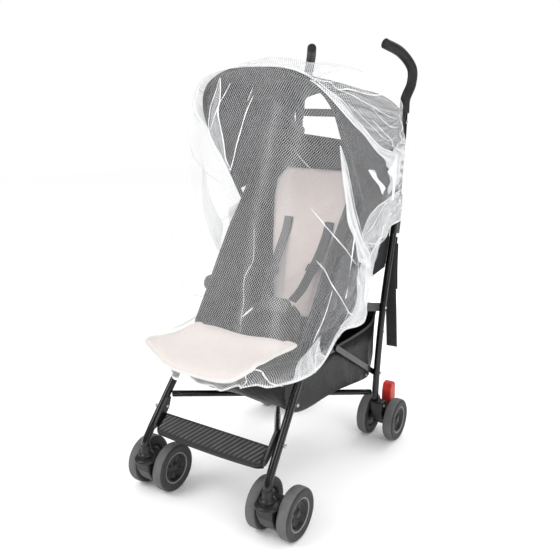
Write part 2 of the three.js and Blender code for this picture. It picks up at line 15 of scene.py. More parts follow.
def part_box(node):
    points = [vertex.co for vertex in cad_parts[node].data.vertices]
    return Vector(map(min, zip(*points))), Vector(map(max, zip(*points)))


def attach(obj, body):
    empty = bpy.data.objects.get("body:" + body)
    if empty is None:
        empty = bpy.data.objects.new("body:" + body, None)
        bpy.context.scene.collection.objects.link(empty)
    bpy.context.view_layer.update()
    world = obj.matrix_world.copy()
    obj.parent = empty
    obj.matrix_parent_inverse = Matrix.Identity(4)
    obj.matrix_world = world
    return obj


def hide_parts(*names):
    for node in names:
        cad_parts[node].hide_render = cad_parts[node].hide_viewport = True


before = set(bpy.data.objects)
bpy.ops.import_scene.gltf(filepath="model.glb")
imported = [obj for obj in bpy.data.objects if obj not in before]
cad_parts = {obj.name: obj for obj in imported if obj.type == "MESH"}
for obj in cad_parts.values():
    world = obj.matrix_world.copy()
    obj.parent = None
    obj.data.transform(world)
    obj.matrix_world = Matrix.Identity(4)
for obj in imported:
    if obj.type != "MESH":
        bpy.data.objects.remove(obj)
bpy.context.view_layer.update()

# The front axle's place along Y in the row frame
_low, _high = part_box("front_left_tyre_a")
AXLE_Y = (_low.y + _high.y) / 2
SIDES = (("left", 1), ("right", -1))


# Curves and surfaces


def smooth(points, shares):
    """Points at shares from 0 to 1 along a centripetal curve through points (..., n, 3)."""
    points = np.asarray(points, float)
    first = 2 * points[..., :1, :] - points[..., 1:2, :]
    last = 2 * points[..., -1:, :] - points[..., -2:-1, :]
    ends = np.concatenate([first, points, last], axis=-2)
    count = points.shape[-2]
    along = np.clip(np.asarray(shares, float), 0, 1) * (count - 1)
    index = np.minimum(along.astype(int), count - 2)
    w = (along - index)[:, None]
    p = [ends[..., index + k, :] for k in range(4)]
    d = [np.maximum(np.linalg.norm(p[k + 1] - p[k], axis=-1, keepdims=True), 1e-6) ** 0.5
         for k in range(3)]
    t1 = (p[1] - p[0]) / d[0] - (p[2] - p[0]) / (d[0] + d[1]) + (p[2] - p[1]) / d[1]
    t2 = (p[2] - p[1]) / d[1] - (p[3] - p[1]) / (d[1] + d[2]) + (p[3] - p[2]) / d[2]
    t1, t2 = t1 * d[1], t2 * d[1]
    square = -3 * p[1] + 3 * p[2] - 2 * t1 - t2
    cube = 2 * p[1] - 2 * p[2] + t1 + t2
    return p[1] + t1 * w + square * w ** 2 + cube * w ** 3


def mirrored(half):
    """Half a row of points, edge first and middle last, made whole by its mirror image."""
    return [list(p) for p in half] + [[-p[0], *p[1:]] for p in reversed(half[:-1])]


def surface(rows, row_places, column_places):
    """A grid of points on the smooth surface through rows of control points."""
    rows = np.asarray(rows, float)
    down = smooth(rows.transpose(1, 0, 2), np.asarray(row_places) / (rows.shape[0] - 1))
    return smooth(down.transpose(1, 0, 2), np.asarray(column_places) / (rows.shape[1] - 1))


def normals(grid, inside):
    """Unit normals of a grid, all on the side away from the point inside."""
    n = np.cross(np.gradient(grid, axis=0), np.gradient(grid, axis=1))
    n /= np.maximum(np.linalg.norm(n, axis=-1, keepdims=True), 1e-9)
    return n * np.sign((n * (grid - np.asarray(inside, float))).sum())


def steps(low, high, count):
    return np.linspace(low, high, count + 1)


# Pieces


def place(points):
    return (np.asarray(points, float) / 1000 + np.array([0, AXLE_Y, 0])).tolist()


def piece(name, points, faces, material, replaces=(), uv=None, flat=False):
    """A mesh in the row frame that rides on the part's one body."""
    mesh = bpy.data.meshes.new(name)
    mesh.from_pydata(place(points), [], faces)
    mesh.validate()
    if not flat:
        mesh.polygons.foreach_set("use_smooth", [True] * len(mesh.polygons))
    if uv is not None:
        layer = mesh.uv_layers.new(name="cloth")
        corner = np.zeros(len(mesh.loops), int)
        mesh.loops.foreach_get("vertex_index", corner)
        layer.data.foreach_set("uv", np.asarray(uv, float)[corner].ravel())
    obj = bpy.data.objects.new(name, mesh)
    bpy.context.scene.collection.objects.link(obj)
    obj.data.materials.append(material)
    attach(obj, "root")
    if replaces:
        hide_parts(*replaces)
    return obj


def grid_faces(rows, columns, round_columns=False, flip=False):
    faces = []
    for i in range(rows - 1):
        for j in range(columns if round_columns else columns - 1):
            k = (j + 1) % columns
            quad = (i * columns + j, i * columns + k, (i + 1) * columns + k, (i + 1) * columns + j)
            faces.append(quad[::-1] if flip else quad)
    return faces


def cloth_uv(grid):
    """Lengths in metres along the rows, from their middle, and along the columns."""
    across = np.linalg.norm(np.diff(grid, axis=1), axis=-1)
    down = np.linalg.norm(np.diff(grid, axis=0), axis=-1)
    u = np.concatenate([np.zeros((grid.shape[0], 1)), across.cumsum(1)], axis=1)
    u -= u[:, grid.shape[1] // 2][:, None]
    v = np.concatenate([[0], down.mean(1).cumsum()])
    v = np.broadcast_to(v[:, None], u.shape)
    return np.stack([u, v], axis=-1).reshape(-1, 2) / 1000


def cloth(name, grid, material, thickness=0.0, replaces=(), outward=None):
    """A sheet of cloth over a grid of points. thickness, in mm, goes towards outward or inwards."""
    obj = piece(name, grid.reshape(-1, 3), grid_faces(*grid.shape[:2]), material,
                replaces, cloth_uv(grid))
    if thickness:
        thick = obj.modifiers.new("thickness", "SOLIDIFY")
        thick.thickness = thickness / 1000
        thick.offset = 0 if outward is None else outward
    return obj


def sweep(name, points, sections, material, replaces=(), count=None, wide=(1, 0, 0),
          round_ends=0.0, uv=True):
    """A closed bar along a curve through points.

    sections is one list of (across, out) corners, or one such list for each point of the curve.
    wide is the direction that across keeps to.
    """
    points = np.asarray(points, float)
    count = count or 8 * (len(points) - 1)
    shares = np.linspace(0, 1, count + 1)
    path = smooth(points, shares) if len(points) > 2 else (
        points[0] + (points[-1] - points[0]) * shares[:, None])
    heading = np.gradient(path, axis=0)
    heading /= np.linalg.norm(heading, axis=1, keepdims=True)
    across = np.asarray(wide, float) - heading * (heading @ np.asarray(wide, float))[:, None]
    across /= np.linalg.norm(across, axis=1, keepdims=True)
    out = np.cross(heading, across)
    sections = np.asarray(sections, float)
    if sections.ndim == 2:
        sections = np.broadcast_to(sections, (count + 1, *sections.shape))
    else:
        spots = np.linspace(0, 1, len(sections))
        sections = np.stack([[[np.interp(s, spots, sections[:, k, a]) for a in (0, 1)]
                              for k in range(sections.shape[1])] for s in shares])
    rings = [path[i] + sections[i, :, :1] * across[i] + sections[i, :, 1:] * out[i]
             for i in range(count + 1)]
    if round_ends:
        for end, step in ((0, -1), (-1, 1)):
            centre, ring = path[end], rings[end]
            lower = centre + (ring - centre) * 0.86 + step * heading[end] * round_ends * 0.7
            last = centre + (ring - centre) * 0.6 + step * heading[end] * round_ends
            rings = [last, lower, *rings] if end == 0 else [*rings, lower, last]
    sides = sections.shape[1]
    grid = np.stack(rings)
    faces = grid_faces(len(rings), sides, round_columns=True)
    faces.append(tuple(range(sides))[::-1])
    faces.append(tuple((len(rings) - 1) * sides + k for k in range(sides)))
    lengths = np.concatenate([[0], np.linalg.norm(np.diff(grid.mean(1), axis=0), axis=1).cumsum()])
    around = np.linalg.norm(np.roll(grid[0], -1, axis=0) - grid[0], axis=1).cumsum()
    coords = np.stack(np.broadcast_arrays(around[None, :], lengths[:, None]), -1) / 1000
    return piece(name, grid.reshape(-1, 3), faces, material, replaces,
                 coords.reshape(-1, 2) if uv else None)


def circle(radius, sides=20, squeeze=1.0):
    turn = [2 * math.pi * k / sides for k in range(sides)]
    return [(radius * math.cos(a), radius * squeeze * math.sin(a)) for a in turn]


def strip(width, thickness):
    """The section of a flat strap with soft edges."""
    w, t = width / 2, thickness / 2
    return [(-w, 0), (-w + t * 0.6, -t), (-w * 0.5, -t), (0, -t), (w * 0.5, -t), (w - t * 0.6, -t),
            (w, 0), (w - t * 0.6, t), (w * 0.5, t), (0, t), (-w * 0.5, t), (-w + t * 0.6, t)]


def tube(name, points, radius, material, replaces=(), count=None, sides=20, wide=(1, 0, 0), ends=1.2):
    return sweep(name, points, circle(radius, sides), material, replaces, count, wide, ends)


def lathe(name, profile, centre, axis, material, replaces=(), segments=48, ripple=None):
    """A turned piece. profile is (radius, height) pairs along axis, a row of a unit matrix."""
    axis = Vector(axis).normalized()
    turn = np.array(Vector((0, 0, 1)).rotation_difference(axis).to_matrix())
    angles = np.arange(segments) * 2 * math.pi / segments
    rings = []
    for radius, height in profile:
        lift = height + (ripple(radius, angles) if ripple else 0 * angles)
        rings.append(np.stack([radius * np.cos(angles), radius * np.sin(angles), lift], -1))
    grid = np.stack(rings) @ turn.T + np.asarray(centre, float)
    faces = grid_faces(len(rings), segments, round_columns=True)
    last = (len(rings) - 1) * segments
    if profile[0][0] < 1:
        faces.append(tuple(range(segments))[::-1])
        faces.append(tuple(last + k for k in range(segments)))
    else:
        faces += [(last + k, last + (k + 1) % segments, (k + 1) % segments, k) for k in range(segments)]
    return piece(name, grid.reshape(-1, 3), faces, material, replaces)


def bevelled(obj, width, segments=3):
    bevel = obj.modifiers.new("edges", "BEVEL")
    bevel.width = width / 1000
    bevel.segments = segments
    bevel.limit_method = "ANGLE"
    return obj


def shape_prism(outline, low, high, axis):
    """Corners and faces of an outline in the plane across axis, from low to high along it."""
    others = [a for a in range(3) if a != axis]
    points = []
    for level in (low, high):
        for a, b in outline:
            p = [0, 0, 0]
            p[axis] = level
            p[others[0]], p[others[1]] = a, b
            points.append(p)
    n = len(outline)
    faces = [tuple(range(n))[::-1], tuple(range(n, 2 * n))]
    faces += [(k, (k + 1) % n, n + (k + 1) % n, n + k) for k in range(n)]
    return points, faces


def prism(name, outline, low, high, material, replaces=(), edge=1.2, axis=0):
    points, faces = shape_prism(outline, low, high, axis)
    obj = piece(name, points, faces, material, replaces, flat=True)
    bpy.context.view_layer.update()
    tidy = bmesh.new()
    tidy.from_mesh(obj.data)
    bmesh.ops.recalc_face_normals(tidy, faces=tidy.faces)
    tidy.to_mesh(obj.data)
    tidy.free()
    return bevelled(obj, edge)


def bar_outline(start, end, start_radius, end_radius=None, count=10):
    end_radius = start_radius if end_radius is None else end_radius
    heading = math.atan2(end[1] - start[1], end[0] - start[0])
    outline = []
    for centre, radius, turn in ((end, end_radius, -math.pi / 2), (start, start_radius, math.pi / 2)):
        for k in range(count + 1):
            angle = heading + turn + math.pi * k / count
            outline.append((centre[0] + radius * math.cos(angle), centre[1] + radius * math.sin(angle)))
    return outline


# Materials


class Look:
    """A node material around one Principled shader."""

    def __init__(self, name, roughness=0.6, **sockets):
        self.material = bpy.data.materials.new(name)
        self.material.use_nodes = True
        self.tree = self.material.node_tree
        self.shader = self.tree.nodes["Principled BSDF"]
        self.shader.inputs["Roughness"].default_value = roughness
        for socket, value in sockets.items():
            self.shader.inputs[socket.replace("_", " ")].default_value = value

    def node(self, kind, settings=None, **inputs):
        made = self.tree.nodes.new(kind)
        for key, value in (settings or {}).items():
            setattr(made, key, value)
        for key, value in inputs.items():
            socket = made.inputs[int(key[1:])] if key[0] == "i" and key[1:].isdigit() else made.inputs[key]
            if isinstance(value, bpy.types.NodeSocket):
                self.tree.links.new(value, socket)
            else:
                socket.default_value = value
        return made

    def math(self, operation, a, b=0.0, clamp=False):
        settings = {"operation": operation, "use_clamp": clamp}
        return self.node("ShaderNodeMath", settings, i0=a, i1=b).outputs[0]

    def coords(self, cloth_map=False):
        if cloth_map:
            return self.node("ShaderNodeUVMap", {"uv_map": "cloth"}).outputs[0]
        return self.node("ShaderNodeTexCoord").outputs["Object"]

    def noise(self, scale, detail=3.0, rough=0.5, where=None):
        made = self.node("ShaderNodeTexNoise", None, Scale=scale, Detail=detail, Roughness=rough)
        self.tree.links.new(self.coords() if where is None else where, made.inputs["Vector"])
        return made.outputs[0]

    def ramp(self, factor, low, high, dark, light):
        made = self.node("ShaderNodeValToRGB", None, Fac=factor)
        for element, place_at, colour in zip(made.color_ramp.elements, (low, high), (dark, light)):
            element.position = place_at
            element.color = (*colour, 1)
        return made.outputs[0]

    def colour(self, socket):
        self.tree.links.new(socket, self.shader.inputs["Base Color"])

    def rough(self, socket):
        self.tree.links.new(socket, self.shader.inputs["Roughness"])

    def bump(self, height, strength, distance):
        made = self.node("ShaderNodeBump", None, Height=height, Strength=strength, Distance=distance)
        earlier = self.shader.inputs["Normal"]
        if earlier.is_linked:
            self.tree.links.new(earlier.links[0].from_socket, made.inputs["Normal"])
        self.tree.links.new(made.outputs[0], earlier)

    def threads(self, pitch, where, turned=False):
        """How far a point is from the nearest thread of each of two sets, as a share of pitch."""
        split = self.node("ShaderNodeSeparateXYZ", None, Vector=where)
        a, b = split.outputs[0], split.outputs[1]
        if turned:
            a, b = self.math("ADD", a, b), self.math("SUBTRACT", a, b)
        found = []
        for line in (a, b):
            share = self.math("FRACT", self.math("MULTIPLY", line, 1 / pitch))
            found.append(self.math("ABSOLUTE", self.math("SUBTRACT", share, 0.5)))
        return found


def woven(name, dark, light, pitch, roughness, sheen, depth, wrinkle=0.0, wrinkle_scale=14):
    """Cloth with a weave along its own threads and slow changes of tone."""
    look = Look(name, roughness, Sheen_Weight=sheen, Sheen_Roughness=0.5, Specular_IOR_Level=0.3)
    where = look.coords(cloth_map=True)
    a, b = look.threads(pitch, where)
    weave = look.math("ADD", a, b)
    tone = look.noise(7, 3, 0.5)
    fine = look.noise(420, 2, 0.5)
    mixed = look.math("ADD", look.math("MULTIPLY", tone, 0.4), look.math("MULTIPLY", fine, 0.6))
    mixed = look.math("ADD", look.math("MULTIPLY", mixed, 0.8), look.math("MULTIPLY", weave, 0.25))
    look.colour(look.ramp(mixed, 0.3, 0.75, dark, light))
    if wrinkle:
        look.bump(look.noise(wrinkle_scale, 3, 0.55), wrinkle, 0.006)
    look.bump(weave, depth, 0.0006)
    return look.material


def moulded(name, dark, light, roughness, grain=900, depth=0.15, **sockets):
    """Moulded or painted surface with a fine grain and uneven gloss."""
    look = Look(name, roughness, **sockets)
    tone = look.noise(24, 4, 0.6)
    look.colour(look.ramp(tone, 0.3, 0.75, dark, light))
    uneven = look.node("ShaderNodeMapRange", None, Value=look.noise(60, 3, 0.5))
    uneven.inputs["To Min"].default_value = roughness * 0.85
    uneven.inputs["To Max"].default_value = min(1, roughness * 1.2)
    look.rough(uneven.outputs[0])
    look.bump(look.noise(grain, 2, 0.5), depth, 0.0004)
    return look.material


def net_look(name, pitch, open_share, soft):
    """White knitted mesh: threads with holes between, closed up where the cloth gathers."""
    look = Look(name, 0.75, Sheen_Weight=0.1, Specular_IOR_Level=0.2)
    gathered = look.node("ShaderNodeAttribute", {"attribute_name": "gather"}).outputs["Fac"]
    a, b = look.threads(pitch, look.coords(cloth_map=True), turned=True)
    uneven = look.node("ShaderNodeMapRange", None, Value=look.noise(16, 2, 0.5))
    uneven.inputs["To Min"].default_value = open_share * 0.85
    uneven.inputs["To Max"].default_value = open_share * 1.15
    share = look.math("ADD", uneven.outputs[0], look.math("MULTIPLY", gathered, 0.55))
    covers = []
    for line in (a, b):
        edge = look.math("SUBTRACT", look.math("MULTIPLY", share, 0.5), line)
        covers.append(look.math("ADD", look.math("MULTIPLY", edge, 1 / soft), 0.5, clamp=True))
    solid = look.math("MAXIMUM", *covers)
    closed = look.math("POWER", look.math("MAXIMUM", gathered, 0.0), 1.3)
    filled = look.math("MULTIPLY", closed, 0.95, clamp=True)
    alpha = look.math("MAXIMUM", solid, filled)
    look.tree.links.new(alpha, look.shader.inputs["Alpha"])
    look.colour(look.ramp(look.noise(60, 3, 0.5), 0.3, 0.7, (0.82, 0.83, 0.845), (0.92, 0.925, 0.935)))
    return look.material


def webbing_look(name, dark, light):
    """Woven strap with ribs across it."""
    look = Look(name, 0.7, Sheen_Weight=0.25, Specular_IOR_Level=0.35)
    split = look.node("ShaderNodeSeparateXYZ", None, Vector=look.coords(cloth_map=True))
    rib = look.math("ABSOLUTE", look.math("SUBTRACT", look.math(
        "FRACT", look.math("MULTIPLY", split.outputs[1], 520)), 0.5))
    patchy = look.math("MULTIPLY", look.noise(90, 3, 0.5), 0.7)
    tone = look.math("ADD", patchy, look.math("MULTIPLY", rib, 0.5))
    look.colour(look.ramp(tone, 0.25, 0.8, dark, light))
    look.bump(rib, 0.5, 0.0008)
    return look.material


NET = net_look("net_mesh", 0.0052, 0.082, 0.08)
HOOD = woven("hood_fabric", (0.005, 0.005, 0.0055), (0.012, 0.012, 0.013), 0.0016, 0.85, 0.03, 0.3, 0.2)
SEAT = woven("seat_fabric", (0.006, 0.006, 0.0065), (0.014, 0.014, 0.015), 0.0022, 0.9, 0.03, 0.25, 0.25)
BASKET = woven("basket_fabric", (0.003, 0.003, 0.0035), (0.009, 0.009, 0.0105), 0.0014, 0.42, 0.0, 0.3, 1.0,
               22)
LINER = woven("liner_fabric", (0.62, 0.52, 0.50), (0.76, 0.67, 0.645), 0.0016, 0.95, 0.2, 0.5, 0.5, 30)
REST = woven("leg_rest_fabric", (0.60, 0.52, 0.49), (0.76, 0.70, 0.66), 0.0016, 0.95, 0.2, 0.5, 0.5, 26)
TRIM = woven("liner_trim", (0.66, 0.63, 0.60), (0.80, 0.78, 0.75), 0.0012, 0.9, 0.2, 0.5)
WEBBING = webbing_look("webbing", (0.008, 0.008, 0.009), (0.03, 0.03, 0.033))
PAINT = moulded("frame_paint", (0.003, 0.003, 0.0035), (0.006, 0.006, 0.007), 0.26, 1400, 0.03,
                Specular_IOR_Level=0.3, Coat_Weight=0.35, Coat_Roughness=0.12)
PLASTIC = moulded("black_plastic", (0.006, 0.006, 0.007), (0.014, 0.014, 0.015), 0.42)
FOAM = moulded("grip_foam", (0.007, 0.007, 0.008), (0.02, 0.02, 0.022), 0.6, 700, 0.5)
TYRE = moulded("tyre_foam", (0.085, 0.085, 0.088), (0.13, 0.13, 0.134), 0.75, 800, 0.35)
# A darker copy of the tyre colour for the side walls: painted shade for walls turned away from the light
TYRE_PAINTED_SHADE = moulded("tyre_wall_painted_shade", (0.018, 0.018, 0.019), (0.034, 0.034, 0.036), 0.6, 800, 0.3)
HUB = moulded("hub_plastic", (0.006, 0.006, 0.007), (0.013, 0.013, 0.014), 0.4)
RIM = moulded("rim_grey", (0.16, 0.16, 0.165), (0.28, 0.28, 0.285), 0.35)
RED = moulded("pedal_red", (0.42, 0.02, 0.012), (0.68, 0.045, 0.03), 0.45)
STEEL = moulded("rivet_steel", (0.45, 0.45, 0.46), (0.7, 0.7, 0.71), 0.3, 1200, 0.1, Metallic=1.0)


def ribbed_look(name, low, high):
    """Black plastic with a painted highlight: lighter grey, patchy with noise, on top of its ribs."""
    look = Look(name, 0.45)
    # The attribute marks the rib tops, which the ramp paints lighter grey as a painted highlight
    rib_top_highlight = look.node("ShaderNodeAttribute", {"attribute_name": "rib_top_highlight"}).outputs["Fac"]
    patchy = look.math("MULTIPLY", rib_top_highlight, look.math("ADD", look.noise(45, 3, 0.6), 0.4), clamp=True)
    look.colour(look.ramp(patchy, 0.05, 0.95, low, high))
    look.bump(look.noise(900, 2, 0.5), 0.2, 0.0004)
    return look.material


TREAD = ribbed_look("tread_plastic", (0.006, 0.006, 0.007), (0.085, 0.085, 0.088))


# Wheels

TRACK_HALF = 180
WHEELBASE = 560
PAIR_HALF = 41
AXLE_Z = 60.25
TYRE_SECTION = [(38, -12), (39.5, -13.4), (44, -14.6), (46, -14.2), (47.5, -14.9), (52, -15.5), (56, -14.8),
                (59, -12.4), (60.6, -8.6), (61, -4), (61, 4), (60.6, 8.6), (59, 12.4), (56, 14.8), (52, 15.5),
                (47.5, 14.9), (46, 14.2), (44, 14.6), (39.5, 13.4), (38, 12)]
HUB_SECTION = [(0.1, 9.6), (6, 9.4), (8.4, 8.8), (9.4, 7.4), (12, 6.6), (13, 5), (16, 4.6), (22, 4.2),
               (28, 4.4), (30, 5), (31.4, 8.4), (32.6, 10.4), (34.4, 11.0), (36.6, 11.2), (37.6, 10.4),
               (37.6, 6), (37.6, -10), (30, -10.5), (14, -10), (13, -21), (0.1, -21)]
RIM_SECTION = [(36.2, 11.0), (36.8, 12.6), (38.2, 13.4), (39.6, 13.0), (39.8, 11.8), (38.2, 11.2)]


def spokes(radius, angles):
    """Shallow ribs of the hub's face between its boss and its rim."""
    near = math.exp(-(((radius - 21) / 6.5) ** 2))
    return 1.9 * near * np.clip(np.cos(angles * 7) * 1.8, -1, 1)


for end, axle_y in (("front", 0), ("rear", WHEELBASE)):
    for side, hand in SIDES:
        for label, offset in (("a", PAIR_HALF), ("b", -PAIR_HALF)):
            outward = 1 if offset > 0 else -1
            centre = (hand * TRACK_HALF + offset, axle_y, AXLE_Z)
            node = f"{end}_{side}_tyre_{label}"
            tyre = lathe(f"tyre_{end}_{side}_{label}", TYRE_SECTION, centre, (1, 0, 0), TYRE,
                         [node], 64)
            tyre.data.materials.append(TYRE_PAINTED_SHADE)
            # Faces more than 12.6 mm from the tyre's middle are the side walls and take the painted shade
            for face in tyre.data.polygons:
                face.material_index = int(abs(face.center.x * 1000 - centre[0]) > 12.6)
            lathe(f"hub_{end}_{side}_{label}", HUB_SECTION, centre, (outward, 0, 0), HUB,
                  [f"{end}_{side}_hub_{label}"], 70, lambda r, a: spokes(r, a) if r < 31 else 0 * a)
            lathe(f"rim_{end}_{side}_{label}", RIM_SECTION, centre, (outward, 0, 0), RIM, (), 64)

# Frame tubes and grips

TUBE_X = 168
TUBE_RADIUS = 9.5
INNER_FACE = 158.82
OUTER_FACE = 177.18
FRONT_TUBE = [[180, -49, 118], [180, -48.6, 136], [178.6, -33, 162], [174.5, 18, 228], [168.3, 103, 338],
              [168, 225, 500], [168, 344, 650], [168, 470, 795], [168, 578, 900]]
PUSH_TUBE = [[168, 530, 120], [168, 532, 180], [168, 557, 393], [168, 618, 655], [168, 638, 843],
             [168, 642, 930]]
GRIP = [[168, 642.2, 930.8], [168, 645, 966], [171, 676, 1010], [166, 686, 1050], [143, 660, 1090],
        [113, 612, 1112]]


def on_side(points, hand):
    return [[hand * x, y, z] for x, y, z in points]


def rivet(name, centre, axis, radius=5.0, height=2.6):
    profile = [(0.1, height), (radius * 0.5, height * 0.94), (radius * 0.85, height * 0.6), (radius, 0.2),
               (radius, -0.4), (0.1, -0.4)]
    return lathe(name, profile, centre, axis, STEEL, (), 20)


BOLT = [(0.1, 7.5), (2.6, 7.2), (4.2, 6.0), (4.6, 4.2), (3.2, 3.4), (3.0, 0.2), (3.0, -1.5), (0.1, -1.5)]
LEG_FACE = 185.6
for side, hand in SIDES:
    tube(f"leg_{side}", on_side(FRONT_TUBE, hand), TUBE_RADIUS, PAINT, [f"front_tube_{side}"], count=72)
    tube(f"handle_tube_{side}", on_side(PUSH_TUBE, hand), TUBE_RADIUS, PAINT, [f"push_tube_{side}"], count=48)
    swell = [13.5, 13.3, 13.5, 13.2, 13.5, 13.4, 13.5, 13.0]
    sweep(f"grip_foam_{side}", on_side(GRIP, hand), [circle(r, 28, 1.06) for r in swell], FOAM,
          [f"grip_{side}"], 60, (1, 0, 0), 2.5)
    for k, (y, z) in enumerate(((62, 285), (5, 211))):
        spot = (hand * (LEG_FACE - 0.055 * (z - 211)), y, z)
        lathe(f"leg_bolt_{side}_{k}", BOLT, spot, (hand, 0, 0), STEEL, (), 24)

# Casters, rear housings and pedals

FORK = [[-66, 88], [-52, 97], [-20, 99], [2, 94], [17, 80], [23, 60], [17, 38], [2, 25], [-18, 20], [-36, 26],
        [-52, 42], [-64, 66]]
FORK_HALF = 21.5
REAR_HOUSING = [[514, 119.4], [546, 119.4], [558, 100], [574, 72], [573, 54], [562, 43], [546, 46], [526, 66],
                [514, 92]]
COLLAR = [(0.1, 130), (11, 130), (12, 127), (12.4, 114), (13.6, 110.6), (17.4, 108.6), (19, 106),
          (18.4, 103.4),
          (14.6, 102), (15, 100.4), (21, 99), (27.4, 96.4), (29.4, 93), (28.6, 89.6), (24, 87), (0.1, 85)]
DRUM = [(0.1, 23.6), (8, 23.6), (10, 22.6), (20, 20.2), (21.6, 18.6), (22, 15.6), (22, -15.6), (21.6, -18.6),
        (20, -20.2), (10, -22.6), (8, -23.6), (0.1, -23.6)]
PEDAL = [[576.8, 60], [588, 64], [594, 93], [612, 99], [614, 108], [611, 150], [601, 157.5], [584, 154],
         [577.6, 136]]
for side, hand in SIDES:
    x = hand * TRACK_HALF
    prism(f"caster_{side}", FORK, x - FORK_HALF, x + FORK_HALF, PLASTIC, [f"front_fork_{side}"], 5)
    lathe(f"caster_collar_{side}", COLLAR, (x, -49, 0), (0, 0, 1), PLASTIC, (), 40)
    lathe(f"caster_drum_{side}", DRUM, (x, 0, AXLE_Z), (1, 0, 0), PLASTIC, (), 40)
    prism(f"rear_block_{side}", REAR_HOUSING, x - 17.5, x + 17.5, PLASTIC,
          [f"rear_housing_{side}"], 4)
    lathe(f"rear_drum_{side}", DRUM, (x, WHEELBASE, AXLE_Z), (1, 0, 0), PLASTIC, (), 40)
    prism(f"pedal_{side}", PEDAL, hand * 168.4, hand * 196.6, RED, [f"brake_pedal_{side}"], 2.5)
    for k, z in enumerate((78, 122, 134)):
        prism(f"pedal_rib_{side}_{k}", [[612, z], [614.4, z + 1], [614.4, z + 4], [612, z + 5]], hand * 170,
              hand * 195, RED, (), 0.8)
    rivet(f"rear_block_rivet_{side}", (hand * 197.4, 530, 106), (hand, 0, 0), 4.5)

# Footrest: a ribbed tread between the legs with an ear up each leg

FOOTREST_HALF = 157.4
tread_x = steps(-FOOTREST_HALF, FOOTREST_HALF, 220)
tread_v = steps(0, 1, 30)
bow = 4.0 * (1 - (tread_x / FOOTREST_HALF) ** 2)
corner = np.clip((np.abs(tread_x) - 138) / 19, 0, 1) ** 2
top_rows, rib_highlight_rows = [], []
RIB_PITCH, RIB_SLANT = 13.0, 38
for v in tread_v:
    y = -41 - bow + v * (43 + bow) + corner * (1 - v) * 9
    z = 174 + v * 27 - 2.0 * (1 - (tread_x / FOOTREST_HALF) ** 2) * (1 - v)
    slant = (tread_x - RIB_SLANT * v) / RIB_PITCH
    rib = np.clip(np.abs((slant % 1) - 0.5) * 5 - 0.9, 0, 1)
    inner = np.clip(min(v, 1 - v) * 14 - 0.6, 0, 1) * np.clip((FOOTREST_HALF - 6 - np.abs(tread_x)) / 4, 0, 1)
    roll = -4 * max(0, 1 - v / 0.08) ** 2
    top_rows.append(np.stack([tread_x, y - roll * 0.3, z + roll + 2.8 * rib * inner], -1))
    # How far each point is on a rib top, kept for the painted highlight
    rib_highlight_rows.append(rib * inner)
top = np.stack(top_rows)
under = top.copy()
under[..., 2] = np.minimum(top[..., 2] - 6, 195)
shell = np.concatenate([top, under[::-1]])
shell_faces = grid_faces(*shell.shape[:2])
columns = shell.shape[1]
last = shell.shape[0] - 1
shell_faces += [(last * columns + j, last * columns + j + 1, j + 1, j) for j in range(columns - 1)]
for j in (0, columns - 1):
    ring = [i * columns + j for i in range(shell.shape[0])]
    shell_faces.append(tuple(ring if j == 0 else ring[::-1]))
footrest = piece("foot_tread", shell.reshape(-1, 3), shell_faces, TREAD, ["footrest"])
# Painted highlight on the rib tops, none on the underside
rib_top_highlight = np.concatenate([np.stack(rib_highlight_rows).ravel(), np.zeros(under.shape[0] * under.shape[1])])
footrest.data.attributes.new("rib_top_highlight", "FLOAT", "POINT").data.foreach_set("value", rib_top_highlight)
EAR = [[-36, 172], [-20, 180], [4, 196], [16, 210], [24, 234], [20, 240], [12, 238], [-4, 222], [-34, 186]]
for side, hand in SIDES:
    prism(f"foot_ear_{side}", EAR, hand * 157, hand * 165.2, PLASTIC, (), 2)
    rivet(f"foot_ear_rivet_{side}", (hand * 156.8, 8, 216), (-hand, 0, 0), 4.0, 1.8)

# Braces, seat rails, rear links and joint hardware

BRACES = (
    # node, side of its rear end, front x, front y, front z, rear z
    ("brace_upper", 1, 159.6, 32, 240, 142),
    ("brace_lower", -1, 160.4, 18, 221, 122))
for name, hand, front_x, front_y, front_z, rear_z in BRACES:
    route = [[-hand * front_x, front_y, front_z], [0, (front_y + 524) / 2, (front_z + rear_z) / 2],
             [hand * 155, 524, rear_z]]
    sweep(f"{name}_bar", route, circle(8, 16), PAINT, [name], 24, (0, 0, 1), 1)

for side, hand in SIDES:
    link_inside = INNER_FACE - 4
    rail_outside = link_inside - 0.4
    prism(f"rail_{side}", bar_outline((114, 351), (300, 343), 9), hand * rail_outside,
          hand * (rail_outside - 4), PAINT, [f"seat_rail_{side}"], 1)
    prism(f"link_{side}", bar_outline((300, 343), (541, 198), 8), hand * INNER_FACE, hand * link_inside,
          PAINT, [f"rear_link_{side}"], 1)
    rivet(f"rail_pin_{side}", (hand * (INNER_FACE - 0.2), 114, 351), (hand, 0, 0), 5.5, 0.1)
    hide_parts(f"rail_rivet_{side}")
    prism(f"top_joint_{side}", bar_outline((578, 902), (640, 880), 11), hand * INNER_FACE,
          hand * (INNER_FACE - 4), PLASTIC, [f"joint_plate_{side}"], 1)
    cap = [(0.1, 7), (10, 6.8), (17, 5.6), (19.4, 3.6), (20, 1), (22, -5.6), (22, -6.4), (0.1, -6.4)]
    lathe(f"pivot_knob_{side}", cap, (hand * (OUTER_FACE + 6.5), 214, 486), (hand, 0, 0), PLASTIC,
          [f"pivot_cap_{side}"], 40)
    for k, (y, z) in enumerate(((556, 393), (549, 322), (640, 905), (541, 200), (617, 690))):
        rivet(f"push_rivet_{side}_{k}", (hand * (TUBE_X + 9.2), y, z), (hand, 0, 0), 4.6)
    # The recline bracket that holds the seat back's strap on each push tube
    prism(f"recline_clamp_{side}", [[598, 600], [632, 596], [640, 640], [642, 706], [630, 712], [618, 690]],
          hand * 160.5, hand * 176.4, PLASTIC, (), 2)
    prism(f"recline_tab_{side}", [[566, 600], [600, 596], [618, 640], [624, 690], [612, 690]],
          hand * 150, hand * 158.6, PLASTIC, (), 1.5)

# Seat: a sling with wings to the side tubes

